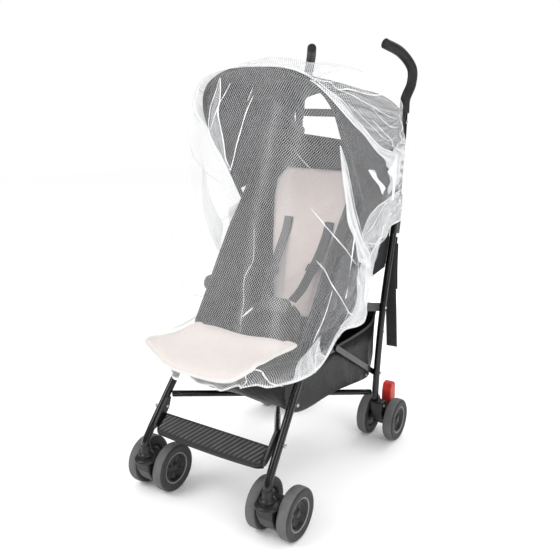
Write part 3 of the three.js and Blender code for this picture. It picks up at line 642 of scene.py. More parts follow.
SEAT_WING_X = INNER_FACE - 2.5 + 0.6
SEAT_FLAT_X = 106
SEAT_FLOOR_X = 146
SEAT_ROWS = [
    # floor y, floor z, wing tip y, wing tip z, from the front lip to the top
    (99, 382, 106, 384), (112, 396, 124, 410), (220, 392, 178, 492), (318, 390, 236, 582),
    (362, 446, 276, 640), (402, 600, 318, 692), (440, 750, 376, 772), (466, 866, 440, 852)]
SEAT_TOP_TILT = 0.12
SEAT_COLUMN = [(SEAT_WING_X, 1), (SEAT_WING_X - 2, 0.55), (SEAT_FLOOR_X, 0.08), (SEAT_FLAT_X, 0), (0, -0.04)]
SEAT_TABLE = [mirrored([[x, fy + (wy - fy) * s, fz + (wz - fz) * s] for x, s in SEAT_COLUMN])
              for fy, fz, wy, wz in SEAT_ROWS]
for point in SEAT_TABLE[-1]:
    point[2] -= SEAT_TOP_TILT * point[0]
SEAT_INSIDE = (0, 900, 200)


def on_seat(row_places, column_places, lift):
    grid = surface(SEAT_TABLE, row_places, column_places)
    return grid + normals(grid, SEAT_INSIDE) * np.asarray(lift, float)[..., None]


seat_rows, seat_columns = steps(0, 7, 112), steps(0, 8, 112)
row_at, column_at = np.meshgrid(seat_rows, seat_columns, indexing="ij")
creases = 1.6 * np.sin(row_at * 2.2 + column_at * 1.3) * np.exp(-((column_at - 4) / 3) ** 2)
creases += 1.2 * np.sin(row_at * 5.1 - column_at * 2.4) * (np.abs(column_at - 4) > 2)
seat = cloth("seat_sling", on_seat(seat_rows, seat_columns, creases * 0.6), SEAT, 2.0, ["seat"])
for side, column in (("left", 0.0), ("right", 8.0)):
    edge = surface(SEAT_TABLE, steps(0, 7, 30), [column, 4])[:, 0]
    sweep(f"seat_binding_{side}", edge, circle(2.6, 10), WEBBING, (), 60, (0, 1, 1))

# The pale liner on the seat back, stitched along two lines
LINER_SHAPE = [
    # seat row, half width
    (3.33, 62), (3.67, 66), (4, 72), (4.25, 80), (4.5, 88), (4.75, 96), (5, 103), (5.33, 109), (5.67, 114),
    (6, 112), (6.25, 84)]


def seat_column(x):
    """The seat table's column at a distance x from the middle of its back."""
    flat = np.minimum(np.abs(x), SEAT_FLAT_X) / SEAT_FLAT_X
    wing = np.maximum(np.abs(x) - SEAT_FLAT_X, 0) / (SEAT_FLOOR_X - SEAT_FLAT_X)
    return 4 - np.sign(x) * (flat + wing)


liner_rows = steps(3.33, 6.25, 96)
liner_half = np.interp(liner_rows, *zip(*LINER_SHAPE))
share_at = steps(-1, 1, 72)
liner_shell = []
for row, half in zip(liner_rows, liner_half):
    near = on_seat([row - 0.02, row, row + 0.02], seat_column(-share_at * half), np.zeros((3, 73)))
    normal = normals(near, SEAT_INSIDE)[1]
    x = share_at * half
    from_edge = np.minimum((half - np.abs(x)) / 11, min(row - 3.33, 6.25 - row) * 145 / 11)
    inner = np.clip(from_edge, 0, 1)
    puff = 1.4 + 6.2 * inner ** 0.5
    puff -= 2.2 * np.exp(-(((np.abs(x) - half * 0.62) / 4.5) ** 2)) * inner
    puff += (0.9 * math.sin(row * 9.0) * np.sin(x * 0.05) + 0.7 * np.sin(row * 17 + x * 0.09)) * inner
    liner_shell.append(near[1] + normal * puff[:, None])
liner = cloth("back_pad", np.stack(liner_shell), LINER, 2.0, ["seat_liner"])

LEG_REST_REAR = 112
LEG_REST_ROWS = [
    # y, z at the side, z in the middle, width to -X and to +X of the middle
    (LEG_REST_REAR, 404.6, 402.2, 148, 148), (92, 402.2, 398.2, 152, 148), (50, 395, 380, 160, 132),
    (0, 396, 370, 170, 134), (-38, 400, 362, 175, 138), (-50, 393, 352, 173, 136)]
LEG_REST = [[[near, y + 6, side_z], [near * 0.6, y - 2, middle_z + 6], [0, y - 8 * (y < 0), middle_z],
             [-far * 0.6, y - 2, middle_z + 6], [-far, y + 6, side_z]]
            for y, side_z, middle_z, far, near in LEG_REST_ROWS]
REST_LAST_ROW = len(LEG_REST) - 1
rest_rows, rest_columns = steps(0, REST_LAST_ROW, 75), steps(0, 4, 120)
rest_grid = surface(LEG_REST, rest_rows, rest_columns)
rest_grid[0, :, 1] = LEG_REST_REAR
rest_normals = normals(rest_grid, (0, 50, 0))
row_at, column_at = np.meshgrid(rest_rows, rest_columns, indexing="ij")
from_edge = np.minimum(row_at / 0.9, np.minimum((REST_LAST_ROW - row_at) / 0.5, np.minimum(
    column_at, 4 - column_at) / 0.16))
rise = 1.8 * np.clip(from_edge, 0, 1) ** 0.6 + 0.8 * np.sin(row_at * 4) * np.sin(column_at * 6)
leg_rest = cloth("leg_rest_pad", rest_grid + rest_normals * rise[..., None], REST, 5.0, ["leg_rest"], -1)
rest_edge = np.concatenate([rest_grid[:, 0], rest_grid[-1, 1:-1], rest_grid[::-1, -1]])
sweep("leg_rest_trim", rest_edge[::4], circle(4.0, 12), TRIM, (), 160, (0, 0.3, 1))


# Harness

SHOULDER_STRAPS = {
    # from the slot in the liner to the hip, each side as it hangs
    "left": [[71, 405.6, 646], [70, 396.4, 618], [60, 372, 560], [45, 348, 510], [37, 320, 474],
             [28, 290, 450]],
    "right": [[-57, 407.9, 652], [-58, 399.6, 622], [-66, 374, 560], [-74, 346, 494], [-72, 320, 446],
              [-56, 292, 420]]}
SLIDER_SHARE = {"left": 0.52, "right": 0.55}
for side, hand in SIDES:
    route = np.array(SHOULDER_STRAPS[side], float) - (0, 1, 0)
    shoulder = sweep(f"harness_{side}", route, strip(28, 2.2), WEBBING,
                     [f"shoulder_strap_{side}"], 48)
    spot, ahead = smooth(route, [SLIDER_SHARE[side], SLIDER_SHARE[side] + 0.08])
    rail = (ahead - spot) / np.linalg.norm(ahead - spot)
    for k, level in enumerate((-9, 0, 9)):
        bar = [spot + rail * level + (x, -2.6, 0) for x in (-17, 17)]
        sweep(f"harness_slider_{side}_{k}", bar, circle(2.2, 10), PLASTIC, (), 8, (0, 1, 0), 1)
    for k, x in enumerate((-17, 17)):
        bar = [spot + rail * level + (x, -2.6, 0) for level in (-9, 9)]
        sweep(f"harness_slider_end_{side}_{k}", bar, circle(2.2, 10), PLASTIC, (), 8,
              (1, 0, 0), 1)
    hip = [[hand * 96, 214, 402], [hand * 80, 232, 414], [hand * 58 + 9, 244, 430],
           [hand * 36 + 14, 244, 444]]
    hip_strap = sweep(f"harness_hip_{side}", hip, strip(26, 2.2), WEBBING, (), 24, (0, 0.5, 1))
crotch = sweep("harness_crotch", [[18, 226, 389], [18, 230, 408], [18, 235.8, 427]], strip(26, 2.2), WEBBING,
               ["crotch_strap"], 16)
BUCKLE = [(-33, -14), (-27, -20), (27, -20), (33, -14), (33, 8), (20, 20), (-20, 20), (-33, 8)]
buckle_points, buckle_faces = shape_prism(BUCKLE, -7, 7, 1)
tilt = Matrix.Rotation(-0.6, 3, "X")
buckle_points = [list(tilt @ Vector(p) + Vector((18, 243, 447))) for p in buckle_points]
bevelled(piece("harness_buckle", buckle_points, buckle_faces, PLASTIC, ["buckle"], flat=True), 2.5)

# Basket: a cloth bag that sags below the seat

BASKET_SIZE = {"front": 60, "rear": 548, "half": 149.8, "rim": 342, "bottom": 222, "fall": 14, "dip": 44}
BASKET_REAR = {"sag": 40, "rise": 58}
BASKET_BENDS = {"front": 3, "rear": 10, "side": 14}
b = BASKET_SIZE
v_at, u_at = np.meshgrid(steps(-1, 1, 110), steps(-1, 1, 90), indexing="ij")
end_wall = np.abs(v_at) ** np.where(v_at < 0, BASKET_BENDS["front"], BASKET_BENDS["rear"])
wall = 1 - (1 - np.abs(u_at) ** BASKET_BENDS["side"]) * (1 - end_wall)
rear_share = np.maximum(v_at, 0)
bottom = b["bottom"] - (b["fall"] / 2 + b["dip"] / 2 * u_at ** 4) * (1 + v_at)
bottom -= BASKET_REAR["sag"] * rear_share ** 1.5
rim = b["rim"] + BASKET_REAR["rise"] * rear_share ** 5
sag = 3.0 * np.sin(v_at * 7 + u_at * 3) * (1 - wall) + 2.0 * np.sin(u_at * 11 - v_at * 4) * (1 - wall)
# Wrinkles of the near walls, in millimetres inwards
pleats = 2.6 * np.abs(np.sin(v_at * 13 + wall * 2.6)) * np.sin(math.pi * wall) ** 0.7
basket_grid = np.stack([
    (b["half"] - pleats) * np.sin(u_at * math.pi / 2),
    (b["front"] + b["rear"]) / 2 + (b["rear"] - b["front"]) / 2 * np.sin(v_at * math.pi / 2),
    bottom + (rim - bottom) * wall + sag], -1)
basket = cloth("basket_bag", basket_grid, BASKET, 2.0, ["basket"])
rim_path = np.concatenate([basket_grid[:, 0], basket_grid[-1, 1:-1], basket_grid[::-1, -1]])
sweep("basket_binding", rim_path[::6], circle(2.8, 10), WEBBING, (), 160, (0, 0, 1))

# The straps at the rear and the eyelets of the basket

EYELETS = ((520, 204), (508, 198), (528, 194))
EYELET_LEAST_X = 138
for side, hand in SIDES:
    side_strap = sweep(
        f"side_strap_{side}", [[hand * 153.8, 402, 432], [hand * 156, 480, 410], [hand * 158, 556, 392]],
        strip(24, 2), WEBBING, [f"corner_strap_{side}"], 12, (0, 0, 1))
    wall_points = basket_grid[basket_grid[..., 0] * hand > EYELET_LEAST_X]
    for k, (y, z) in enumerate(EYELETS):
        nearest = wall_points[np.hypot(wall_points[:, 1] - y, wall_points[:, 2] - z).argmin()]
        rivet(f"basket_eyelet_{side}_{k}", nearest + (hand * 1.2, 0, 0), (hand, 0, 0), 3.4, 1.2)
CARRY = [[162, 614.6, 588], [162, 611, 560], [163, 612, 500], [165, 616, 430], [169, 622, 340],
         [172, 628, 256]]
CARRY_EDGE = [[180.5, 612, 570], [181.5, 613, 500], [183, 617, 436]]
handle_strap = sweep("handle_strap", CARRY, strip(34, 2.2), WEBBING, ["carry_strap"], 40, (1, 0, 0))
handle_strap_edge = sweep("handle_strap_edge", CARRY_EDGE, strip(5, 2.2), WEBBING, (), 20, (1, 0, 0))

# Cloth between the seat back and the push tubes, with a seam across

SIDE_PANEL = [[340, 402], [448, 412], [452, 482], [472, 490], [579, 505], [606, 620], [608, 752], [560, 776],
              [490, 758], [438, 722], [414, 680], [396, 610], [376, 540], [362, 490], [350, 446]]
for side, hand in SIDES:
    side_cloth = prism(f"side_cloth_{side}", SIDE_PANEL, hand * INNER_FACE, hand * (INNER_FACE - 2.5),
                       SEAT, [f"side_panel_{side}"], 0.8)
GUSSET = [
    # height, y of the seat's edge, y of the side cloth's edge
    (408, 331, 340), (446, 362, 350), (490, 373, 362), (540, 386, 376), (610, 405, 396), (680, 422, 414),
    (722, 433, 438)]
GUSSET_SEAT_X, GUSSET_WIDTH = 146.5, 10.7
for side, hand in SIDES:
    height_at = steps(408, 722, 40)
    seat_y, cloth_y = (np.interp(height_at, [g[0] for g in GUSSET], [g[k] for g in GUSSET]) for k in (1, 2))
    share = steps(0, 1, 6)[None, :]
    depth = seat_y[:, None] + 1.5 + (cloth_y + 4 - seat_y)[:, None] * share + 3 * np.sin(share * math.pi)
    gusset = np.stack(np.broadcast_arrays(
        hand * (GUSSET_SEAT_X + GUSSET_WIDTH * share), depth, height_at[:, None]), -1)
    gusset_cloth = cloth(f"side_gusset_{side}", gusset, SEAT, 1.4)
SEAM_X = INNER_FACE + 0.08
for side, hand in SIDES:
    seam = [[hand * SEAM_X, 404, 545], [hand * SEAM_X, 500, 572], [hand * SEAM_X, 596, 612]]
    sweep(f"side_cloth_seam_{side}", seam,
          circle(1.4, 8), WEBBING, (), 24, (0, 0, 1))

# Strap across behind the hood, with a tab in front of each push tube

HOOD_STRAP = mirrored([[176, 929, 905], [153, 929, 905], [149, 944, 922], [0, 941, 919]])
strap_x = steps(-176, 176, 88)
strap_upper = np.interp(strap_x, [p[0] for p in HOOD_STRAP[::-1]], [p[1] for p in HOOD_STRAP[::-1]])
strap_lower = np.interp(strap_x, [p[0] for p in HOOD_STRAP[::-1]], [p[2] for p in HOOD_STRAP[::-1]])
across = steps(0, 1, 8)[:, None]
strap_grid = np.stack(np.broadcast_arrays(
    strap_x[None, :], 630.6 + 0.7 * np.sin(strap_x * 0.07)[None, :] * (1 - across),
    strap_lower + (strap_upper - strap_lower) * across), -1)
hood_strap = cloth("hood_strap_band", strap_grid, WEBBING, 1.8, ["hood_strap"])

# Hood and its bow

BOW = [[182.68, 374, 688], [182.68, 350, 720], [184.6, 296, 800], [186.6, 240, 872], [180, 206, 932],
       [150, 180, 978], [90, 164, 1008], [0, 160, 1021]]
tube("hood_hoop", mirrored(BOW), 6, PAINT, ["hood_bow"], count=120, sides=14, wide=(0, 1, 0))
HOOD_ROWS = [
    # each row from its lower edge on +X to its middle
    [[183, 355.4, 725.4], [184.6, 302.4, 804.6], [185.4, 236, 896], [140, 183, 983], [0, 167.2, 1020]],
    [[184, 430, 744], [186, 386, 822], [186, 340, 906], [142, 320, 982], [0, 312, 1014]],
    [[184, 520, 782], [184, 500, 850], [184, 470, 918], [138, 462, 978], [0, 458, 1006]],
    [[184, 582, 830], [184, 586, 878], [182, 588, 926], [124, 586, 972], [0, 582, 994]]]
HOOD_TABLE = [mirrored(row) for row in HOOD_ROWS]
# On -X the rear edge hangs further back, round the outside of the push tube
HOOD_TABLE[-1][-4:] = [[-124, 592, 972], [-180, 626, 926], [-184, 644, 884], [-184, 640, 830]]
hood_grid = surface(HOOD_TABLE, steps(0, 3, 90), steps(0, 8, 160))
row_at, column_at = np.meshgrid(steps(0, 3, 90), steps(0, 8, 160), indexing="ij")
between_ribs = np.sin(np.clip(row_at, 0, 3) / 3 * math.pi)
hood_grid = hood_grid + normals(hood_grid, (0, 380, 800)) * (
    -2.5 * between_ribs + 0.8 * np.sin(column_at * 9 + row_at * 3) * between_ribs)[..., None]
hood = cloth("hood_cloth", hood_grid, HOOD, 2.0, ["hood"])
for k, row in enumerate((0.0, 3.0)):
    seam = surface(HOOD_TABLE, [row, row], steps(0, 8, 64))[0]
    sweep(f"hood_binding_{k}", seam, circle(3.2, 10), WEBBING, (), 160, (0, 1, 0))

# Net: one sheet from the hem behind the hood to the hem below the leg rest

NET_ROWS = [
    [[190, 572, 925], [190, 576, 946], [175, 586, 967], [140, 598, 998], [86, 602, 1027], [0, 600, 1045]],
    [[190, 578, 908], [193, 562, 918], [190, 552, 946], [162, 522, 1000], [96, 506, 1032], [0, 500, 1048]],
    [[190, 586, 890], [197, 530, 888], [202, 470, 905], [172, 372, 998], [104, 362, 1030], [0, 360, 1042]],
    [[190, 600, 868], [201, 512, 856], [206, 404, 856], [190, 222, 962], [144, 180, 1002], [0, 166, 1032]],
    [[190, 612, 852], [202, 500, 840], [208, 390, 830], [198, 196, 926], [147, 149, 993], [0, 145, 1018]],
    [[190, 622, 840], [203, 490, 820], [210, 375, 796], [204, 184, 876], [136, 138, 918], [0, 132, 952]],
    [[188, 618, 820], [204, 470, 790], [212, 350, 750], [206, 176, 778], [128, 120, 815], [0, 104, 838]],
    [[188, 618, 790], [205, 460, 748], [214, 330, 680], [204, 112, 652], [124, 68, 676], [0, 48, 690]],
    [[189, 616, 752], [206, 450, 700], [215, 316, 590], [198, 46, 534], [120, 8, 542], [0, -10, 546]],
    [[190, 614, 710], [207, 440, 650], [213, 308, 500], [194, -10, 438], [120, -44, 434], [0, -56, 432]],
    [[191, 612, 684], [208, 430, 618], [212, 302, 452], [188, -46, 400], [118, -68, 386], [0, -76, 376]],
    [[192, 610, 658], [209, 392, 592], [210, 300, 416], [178, -58, 378], [112, -64, 356], [0, -64, 342]]]
NET_TABLE = [mirrored(row) for row in NET_ROWS]
NET_INSIDE = (0, 350, 600)
NET_EDGE_ROW = len(NET_ROWS) - 1
ROW_LENGTH, COLUMN_LENGTH = 120, 140
HEM_DIPS = [(2.68, 0.3, 22), (2.24, 0.17, -26)]
NET_FOLDS = [
    # from row, from column, to row, to column, height, half width: the solid's own folds
    (1.5, 5.4, 2.0, 0.5, 7, 34), (2.6, 4.9, 3.0, 0.5, 8, 36), (3.2, 4.0, 5.4, 0.4, 9, 34),
    (4.6, 3.6, 7.2, 0.5, 8, 34), (5.0, 5.6, 7.4, 2.9, 6, 40), (5.6, 4.4, 9.6, 2.0, 8, 40),
    (7.0, 3.6, 10.0, 4.2, 7, 36), (5.2, 6.6, 7.5, 6.4, 6, 36), (6.2, 7.2, 10.2, 6.6, 6, 38),
    (8.0, 1.9, 9.6, 0.3, 9, 34), (9.2, 4.7, 10.9, 4.3, 7, 30)]

net_rows, net_columns = steps(0, NET_EDGE_ROW, 220), steps(0, 10, 400)
row_at, column_at = np.meshgrid(net_rows, net_columns, indexing="ij")


def near_line(points, half, taper=0.0):
    """How near each point of the net is to a line through (row, column) places, from 0 to 1."""
    best = np.full(row_at.shape, np.inf)
    for (r0, c0), (r1, c1) in zip(points, points[1:]):
        dr, dc = (r1 - r0) * ROW_LENGTH, (c1 - c0) * COLUMN_LENGTH
        pr, pc = (row_at - r0) * ROW_LENGTH, (column_at - c0) * COLUMN_LENGTH
        share = np.clip((pr * dr + pc * dc) / (dr * dr + dc * dc), 0, 1)
        best = np.minimum(best, np.hypot(pr - share * dr, pc - share * dc))
    return np.exp(-((best / half) ** 2))


height = np.zeros(row_at.shape)
for r0, c0, r1, c1, rise, half in NET_FOLDS:
    height += rise * near_line([(r0, c0), (r1, c1)], half)
near_hem = np.clip(1 - (NET_EDGE_ROW - row_at) / 1.3, 0, 1)
ruffle = np.sin(column_at / 10 * 2 * math.pi * 17) + 0.6 * np.sin(column_at * 7.3)
height += 6 * near_hem * (1 + ruffle)

# How far the net is gathered: 0 where it is one even layer, 1 where its threads lie close
side_at = np.minimum(column_at, 10 - column_at)
over_hood = np.clip((4.0 - row_at) / 0.25, 0, 1)
slant = side_at - 0.567 * row_at
streaks = (np.sin(slant * 23 + 1.3 * np.sin(row_at * 1.7)) + 0.8 * np.sin(slant * 41 + row_at * 2.1)
           + 0.6 * np.sin(slant * 67 - row_at * 1.1)) / 2.4
streaks = np.sign(streaks) * np.abs(streaks) ** 1.4
gather = over_hood * (0.15 + 0.13 * streaks) * np.clip(1.15 - (side_at - 3.6) * 0.5, 0.45, 1)
at_tube = np.clip(1.1 - side_at, 0, 1)
at_tube *= np.clip((row_at - 2.6) / 1.5, 0, 1) * np.clip((8.6 - row_at) / 1.2, 0, 1)
gather += 0.42 * at_tube * (0.75 + 0.35 * np.sin(row_at * 9 + side_at * 14))
gather += 0.13 * near_hem ** 1.5 * (0.9 + 0.6 * np.sin(column_at * 21 + row_at * 3) * np.sin(row_at * 7))
gather += 0.35 * np.clip((row_at - 10.78) / 0.06, 0, 1)
gather += 0.3 * np.clip((0.2 - row_at) / 0.08, 0, 1)
low_side = np.clip((row_at - 7.2) / 1.4, 0, 1) * np.clip((2.5 - side_at) / 0.8, 0, 1)
crumple = (np.sin(row_at * 6.1 + side_at * 9.7) * np.sin(row_at * 11.3 - side_at * 7.1)
           + 0.7 * np.sin(row_at * 17.9 + side_at * 3.3) * np.sin(side_at * 23.1 - row_at * 4.7))
gather += low_side * (0.10 + 0.14 * crumple)
height += low_side * (1.6 + 1.8 * crumple)
gather += 0.05 * near_line([(5.0, 4.42), (5.7, 4.42), (6.8, 4.45), (8.7, 4.2)], 12)
gather += 0.05 * near_line([(4.6, 3.9), (6.4, 4.0), (8.9, 3.3)], 22)
gather += 0.04 * near_line([(5.4, 6.6), (7.5, 6.2), (9.4, 6.0)], 16)
gather -= 0.13 * near_line([(4.1, 5.9), (5.6, 6.15), (6.2, 5.9)], 36)
gather += 0.012 * np.sin(row_at * 2.3 + column_at * 3.1) * np.sin(column_at * 1.7 - row_at)

net_grid = surface(NET_TABLE, net_rows, net_columns)
net_outward = normals(net_grid, NET_INSIDE)
for middle, half, fall in HEM_DIPS:
    near_dip = np.exp(-(((column_at - middle) / half) ** 2))
    net_grid[..., 2] -= fall * near_dip * np.clip(1 - (NET_EDGE_ROW - row_at) / 2, 0, 1)
net_grid = net_grid + net_outward * height[..., None]
net_outward = normals(net_grid, NET_INSIDE)
net = cloth("net_cloth", net_grid, NET, 0, ["net"])


def gathered(obj, values):
    shade = obj.data.attributes.new("gather", "FLOAT", "POINT")
    shade.data.foreach_set("value", np.ravel(values))


gathered(net, gather)

# Pleats, where the net lies double, and the fine creases, all at (row, column) places of the net

NET_PLEATS = [
    # left line, right line, how far gathered
    ([(4.3, 5.48), (4.8, 5.6), (5.4, 5.73), (5.57, 5.73), (6, 5.45), (6.33, 5.15)],
     [(4.3, 5.48), (4.67, 5.48), (5.2, 5.5), (5.47, 5.45), (6.03, 5.3), (6.3, 5.1)], 0.1),
    ([(5.27, 3), (5.67, 2.93), (6, 2.85), (6.37, 2.7), (6.7, 2.58), (7.3, 2.3), (7.97, 2.15)],
     [(5.27, 3), (5.6, 2.85), (5.93, 2.73), (6.37, 2.53), (6.8, 2.33), (7.53, 2.08), (9, 1.62)], 0.42),
    ([(5.3, 2.27), (5.83, 1.93), (6.4, 1.62), (6.97, 1.33)],
     [(5.3, 2.27), (5.23, 2.08), (6, 1.66), (6.83, 1.23)], 0.8),
    ([(8.33, 0.25), (7.93, 0.88), (7.1, 1.58), (6.97, 1.93), (7.2, 2.1), (7.4, 2.15)],
     [(9.07, 0.2), (10.27, 0.25), (11, 0.68), (8.47, 1.5), (7.87, 1.95), (7.77, 2.08)], 0.2),
    ([(4.1, 3.93), (4, 3.23), (4.1, 2.73), (4, 2.4), (4.3, 1.95), (5.2, 1.45), (6.2, 0.95)],
     [(4.03, 3.9), (3.73, 3.15), (3.53, 2.62), (3.33, 2.23), (3.57, 1.7), (4.2, 1.22), (4.97, 0.88)], 0.38),
    ([(3.87, 1.05), (4.9, 1.06), (5.9, 1.05), (7.03, 1.03), (7.7, 0.9)],
     [(4.6, 0.34), (5.27, 0.3), (6.23, 0.25), (7.03, 0.38), (7.73, 0.33)], 0.3),
    ([(9.43, 2.68), (9.77, 2.75), (10.77, 2.75), (11, 2.8)],
     [(9.07, 2.6), (10, 2.52), (11, 2.48), (11, 2.65)], 0.24),
    ([(8.33, 2.15), (8.87, 2.12), (9.6, 2.28), (10.6, 2.45), (11, 2.55)],
     [(8, 2.1), (8.9, 1.7), (9.6, 1.6), (10.5, 1.75), (11, 1.95)], 0.32),
    ([(5.4, 7.3), (6.4, 7.6), (7.6, 8)], [(5.4, 7.3), (6.3, 7.45), (8.4, 7.95)], 0.2),
    ([(8.1, 9.7), (7.6, 8.9), (7.2, 8.1)], [(9.3, 9.8), (9.6, 9.2), (7.9, 8.2)], 0.22),
    ([(4, 6.3), (4, 7.1), (4.2, 7.9), (5.9, 9)], [(3.8, 6.4), (3.5, 7.3), (3.5, 8.2), (4.8, 9.1)], 0.2)]
NET_CREASES = [
    # places, width in mm, strength
    ([(4.3, 5.48), (4.8, 5.6), (5.1, 5.68), (5.4, 5.73), (5.57, 5.7)], 3.2, 0.8),
    ([(4.3, 5.48), (4.67, 5.48), (5, 5.48), (5.2, 5.5), (5.47, 5.45), (5.83, 5.35), (6.13, 5.25),
      (6.3, 5.1)], 3.8, 0.9),
    ([(4.53, 5.3), (5.03, 5.48), (5.5, 5.68)], 3, 0.75),
    ([(5.57, 5.73), (6, 5.47), (6.33, 5.15), (6.5, 4.95)], 3.4, 0.7),
    ([(4.93, 4.85), (5.27, 4.93), (5.63, 4.98), (5.93, 5.05), (6.2, 5.08), (6.33, 5.1)], 3.4, 0.9),
    ([(4.7, 4.88), (5.1, 4.95)], 2.6, 0.5),
    ([(4.2, 7.2), (4.06, 6.5), (3.99, 5.9), (3.95, 5.3), (3.93, 4.7), (3.95, 4.2), (3.99, 3.8)], 8, 0.42),
    ([(7, 4.42), (7.23, 4.35), (7.53, 4.28), (7.77, 4.35), (8.17, 4.25), (8.37, 4.23), (8.67, 4.17)],
     2.4, 0.34),
    ([(8.4, 4.2), (8.32, 4.12), (8.23, 4.03)], 5, 0.7),
    ([(5.83, 3.93), (5.97, 3.65), (6.03, 3.35)], 2.6, 0.3),
    ([(6.57, 3.43), (6.8, 2.95), (7.33, 2.5), (7.97, 2.2)], 3.4, 0.8),
    ([(7.33, 3), (7.57, 2.8), (8.1, 2.55), (8.73, 2.35), (10.17, 2.08)], 3.6, 0.85),
    ([(8.07, 2.6), (8.47, 2.65), (8.83, 2.68), (9.17, 2.68)], 4, 0.8),
    ([(5.27, 3), (5.67, 2.93), (6, 2.85), (6.37, 2.7), (6.7, 2.58), (7.3, 2.3), (7.97, 2.15)], 3, 0.8),
    ([(5.27, 3), (5.6, 2.85), (5.93, 2.73), (6.37, 2.53), (6.8, 2.33), (7.53, 2.08), (9, 1.62)], 3, 0.8),
    ([(5.3, 2.27), (5.83, 1.93), (6.97, 1.33)], 4, 0.9),
    ([(5.3, 2.27), (5.23, 2.08), (5.6, 1.95), (5.75, 1.98)], 3, 0.8),
    ([(8.5, 0.28), (8.1, 0.85), (7.57, 1.4), (7.4, 2.12)], 3.2, 0.8),
    ([(9.07, 0.2), (8.67, 1.05), (8.2, 1.6), (7.63, 2.05)], 3.2, 0.8),
    ([(8.33, 0.25), (7.93, 0.88), (7.1, 1.58), (6.97, 1.93)], 3.4, 0.85),
    ([(10.27, 0.25), (11, 0.68), (8.47, 1.5), (7.87, 1.95)], 3, 0.6),
    ([(3.93, 3.85), (3.73, 3.15), (3.53, 2.62), (3.4, 2.2), (3.72, 1.64), (4.97, 0.88)], 3.4, 0.95),
    ([(4.1, 3.73), (4, 3.23), (4.08, 2.73), (4, 2.4), (4.3, 1.95), (5.2, 1.45), (6.2, 0.95)], 3, 0.75),
    ([(3.93, 3.85), (3.4, 3.45), (2.77, 2.9), (2.37, 2.73), (1.6, 2.53)], 3.4, 0.8),
    ([(3.96, 3.86), (3.2, 3.62), (2.3, 3.1), (1.2, 2.82)], 2.6, 0.5),
    ([(2.53, 2.53), (2.37, 2.27), (2.2, 1.9), (2.05, 1.5)], 2.8, 0.7),
    ([(2.83, 2.43), (2.73, 2.2), (2.73, 1.83), (3.1, 1.45), (3.7, 1.07)], 3.4, 0.85),
    ([(3.13, 3.18), (2.77, 2.73), (2.37, 2.48), (1.8, 1.95)], 3, 0.6),
    ([(3.3, 2.9), (2.95, 2.35), (2.85, 1.8), (2.6, 1.2)], 2.4, 0.5),
    ([(1.43, 1.8), (1.5, 1.35), (1.53, 0.98), (2.2, 0.86), (2.97, 0.83), (3.8, 0.88), (4.6, 0.98)], 4.2, 0.9),
    ([(3.87, 1.05), (4.6, 0.75), (5.3, 0.55), (6.3, 0.5)], 3, 0.8),
    ([(6.1, 1), (6.6, 0.72), (7.3, 0.66), (7.8, 0.4)], 3.4, 0.85),
    ([(5.1, 0.98), (6, 0.9), (7, 0.98), (7.6, 0.8)], 3, 0.7),
    ([(9.73, 3.65), (9.83, 3.33), (10.3, 3.1), (11, 2.83)], 3.4, 0.8),
    ([(9.7, 3.66), (9.95, 3.72), (10.4, 3.62), (10.9, 3.68)], 2.8, 0.55),
    ([(9.3, 2.6), (10, 2.58), (11, 2.56)], 3.4, 0.8),
    ([(7.8, 2.2), (8.4, 1.9), (9.2, 1.6)], 3.4, 0.85),
    ([(7.8, 2.2), (8.33, 2.15), (8.87, 2.05), (9.6, 2.1)], 3, 0.75),
    ([(7.95, 2.17), (8.1, 1.8), (8.45, 1.3), (9, 0.95)], 2.8, 0.7),
    ([(8.6, 1.45), (9.2, 1.62), (9.9, 1.7), (10.8, 1.62)], 2.6, 0.6),
    ([(9.3, 2.4), (9.8, 2), (10.1, 1.5), (10.9, 1.15)], 2.8, 0.6),
    ([(8.9, 2.3), (9.6, 2.34), (10.3, 2.24), (10.9, 2.3)], 2.8, 0.6),
    ([(4.25, 5.9), (4.9, 6.5), (5.6, 7.2), (6.2, 7.9)], 3, 0.55),
    ([(5.9, 6.4), (6.9, 6.9), (7.9, 7.7)], 2.8, 0.55),
    ([(7.3, 6.9), (8.3, 7.4), (9.9, 7.8)], 3.2, 0.7),
    ([(7.6, 5.7), (8.2, 5.75), (8.9, 5.85)], 2.4, 0.35),
    ([(3.9, 6.2), (3.3, 6.6), (2.6, 7.2), (1.6, 7.5)], 3, 0.65),
    ([(3.2, 6.9), (2.8, 7.4), (2.5, 8.1)], 2.8, 0.6),
    ([(5.3, 7.8), (6, 8.2), (6.9, 8.7)], 3.4, 0.75),
    ([(8.5, 9.7), (7.8, 8.7), (7.4, 7.9)], 3, 0.7),
    ([(9.4, 6.5), (10.1, 6.7), (11, 7.1)], 3, 0.6)]


def flow(places, count):
    """A smooth line of count places through the given ones."""
    flat = np.array([(row * ROW_LENGTH, column * COLUMN_LENGTH, 0) for row, column in places], float)
    shares = np.linspace(0, 1, count)
    line = smooth(flat, shares) if len(flat) > 2 else flat[0] + (flat[-1] - flat[0]) * shares[:, None]
    return line[:, :2] / (ROW_LENGTH, COLUMN_LENGTH)


def on_net(places):
    """Points of the finished net and its outward directions at (row, column) places."""
    rows_across = np.clip(places[..., 0] / NET_EDGE_ROW, 0, 1) * (len(net_rows) - 1)
    columns_across = np.clip(places[..., 1] / 10, 0, 1) * (len(net_columns) - 1)
    i = np.minimum(rows_across.astype(int), len(net_rows) - 2)
    j = np.minimum(columns_across.astype(int), len(net_columns) - 2)
    a, b = (rows_across - i)[..., None], (columns_across - j)[..., None]
    return [(grid[i, j] * (1 - a) + grid[i + 1, j] * a) * (1 - b)
            + (grid[i, j + 1] * (1 - a) + grid[i + 1, j + 1] * a) * b for grid in (net_grid, net_outward)]


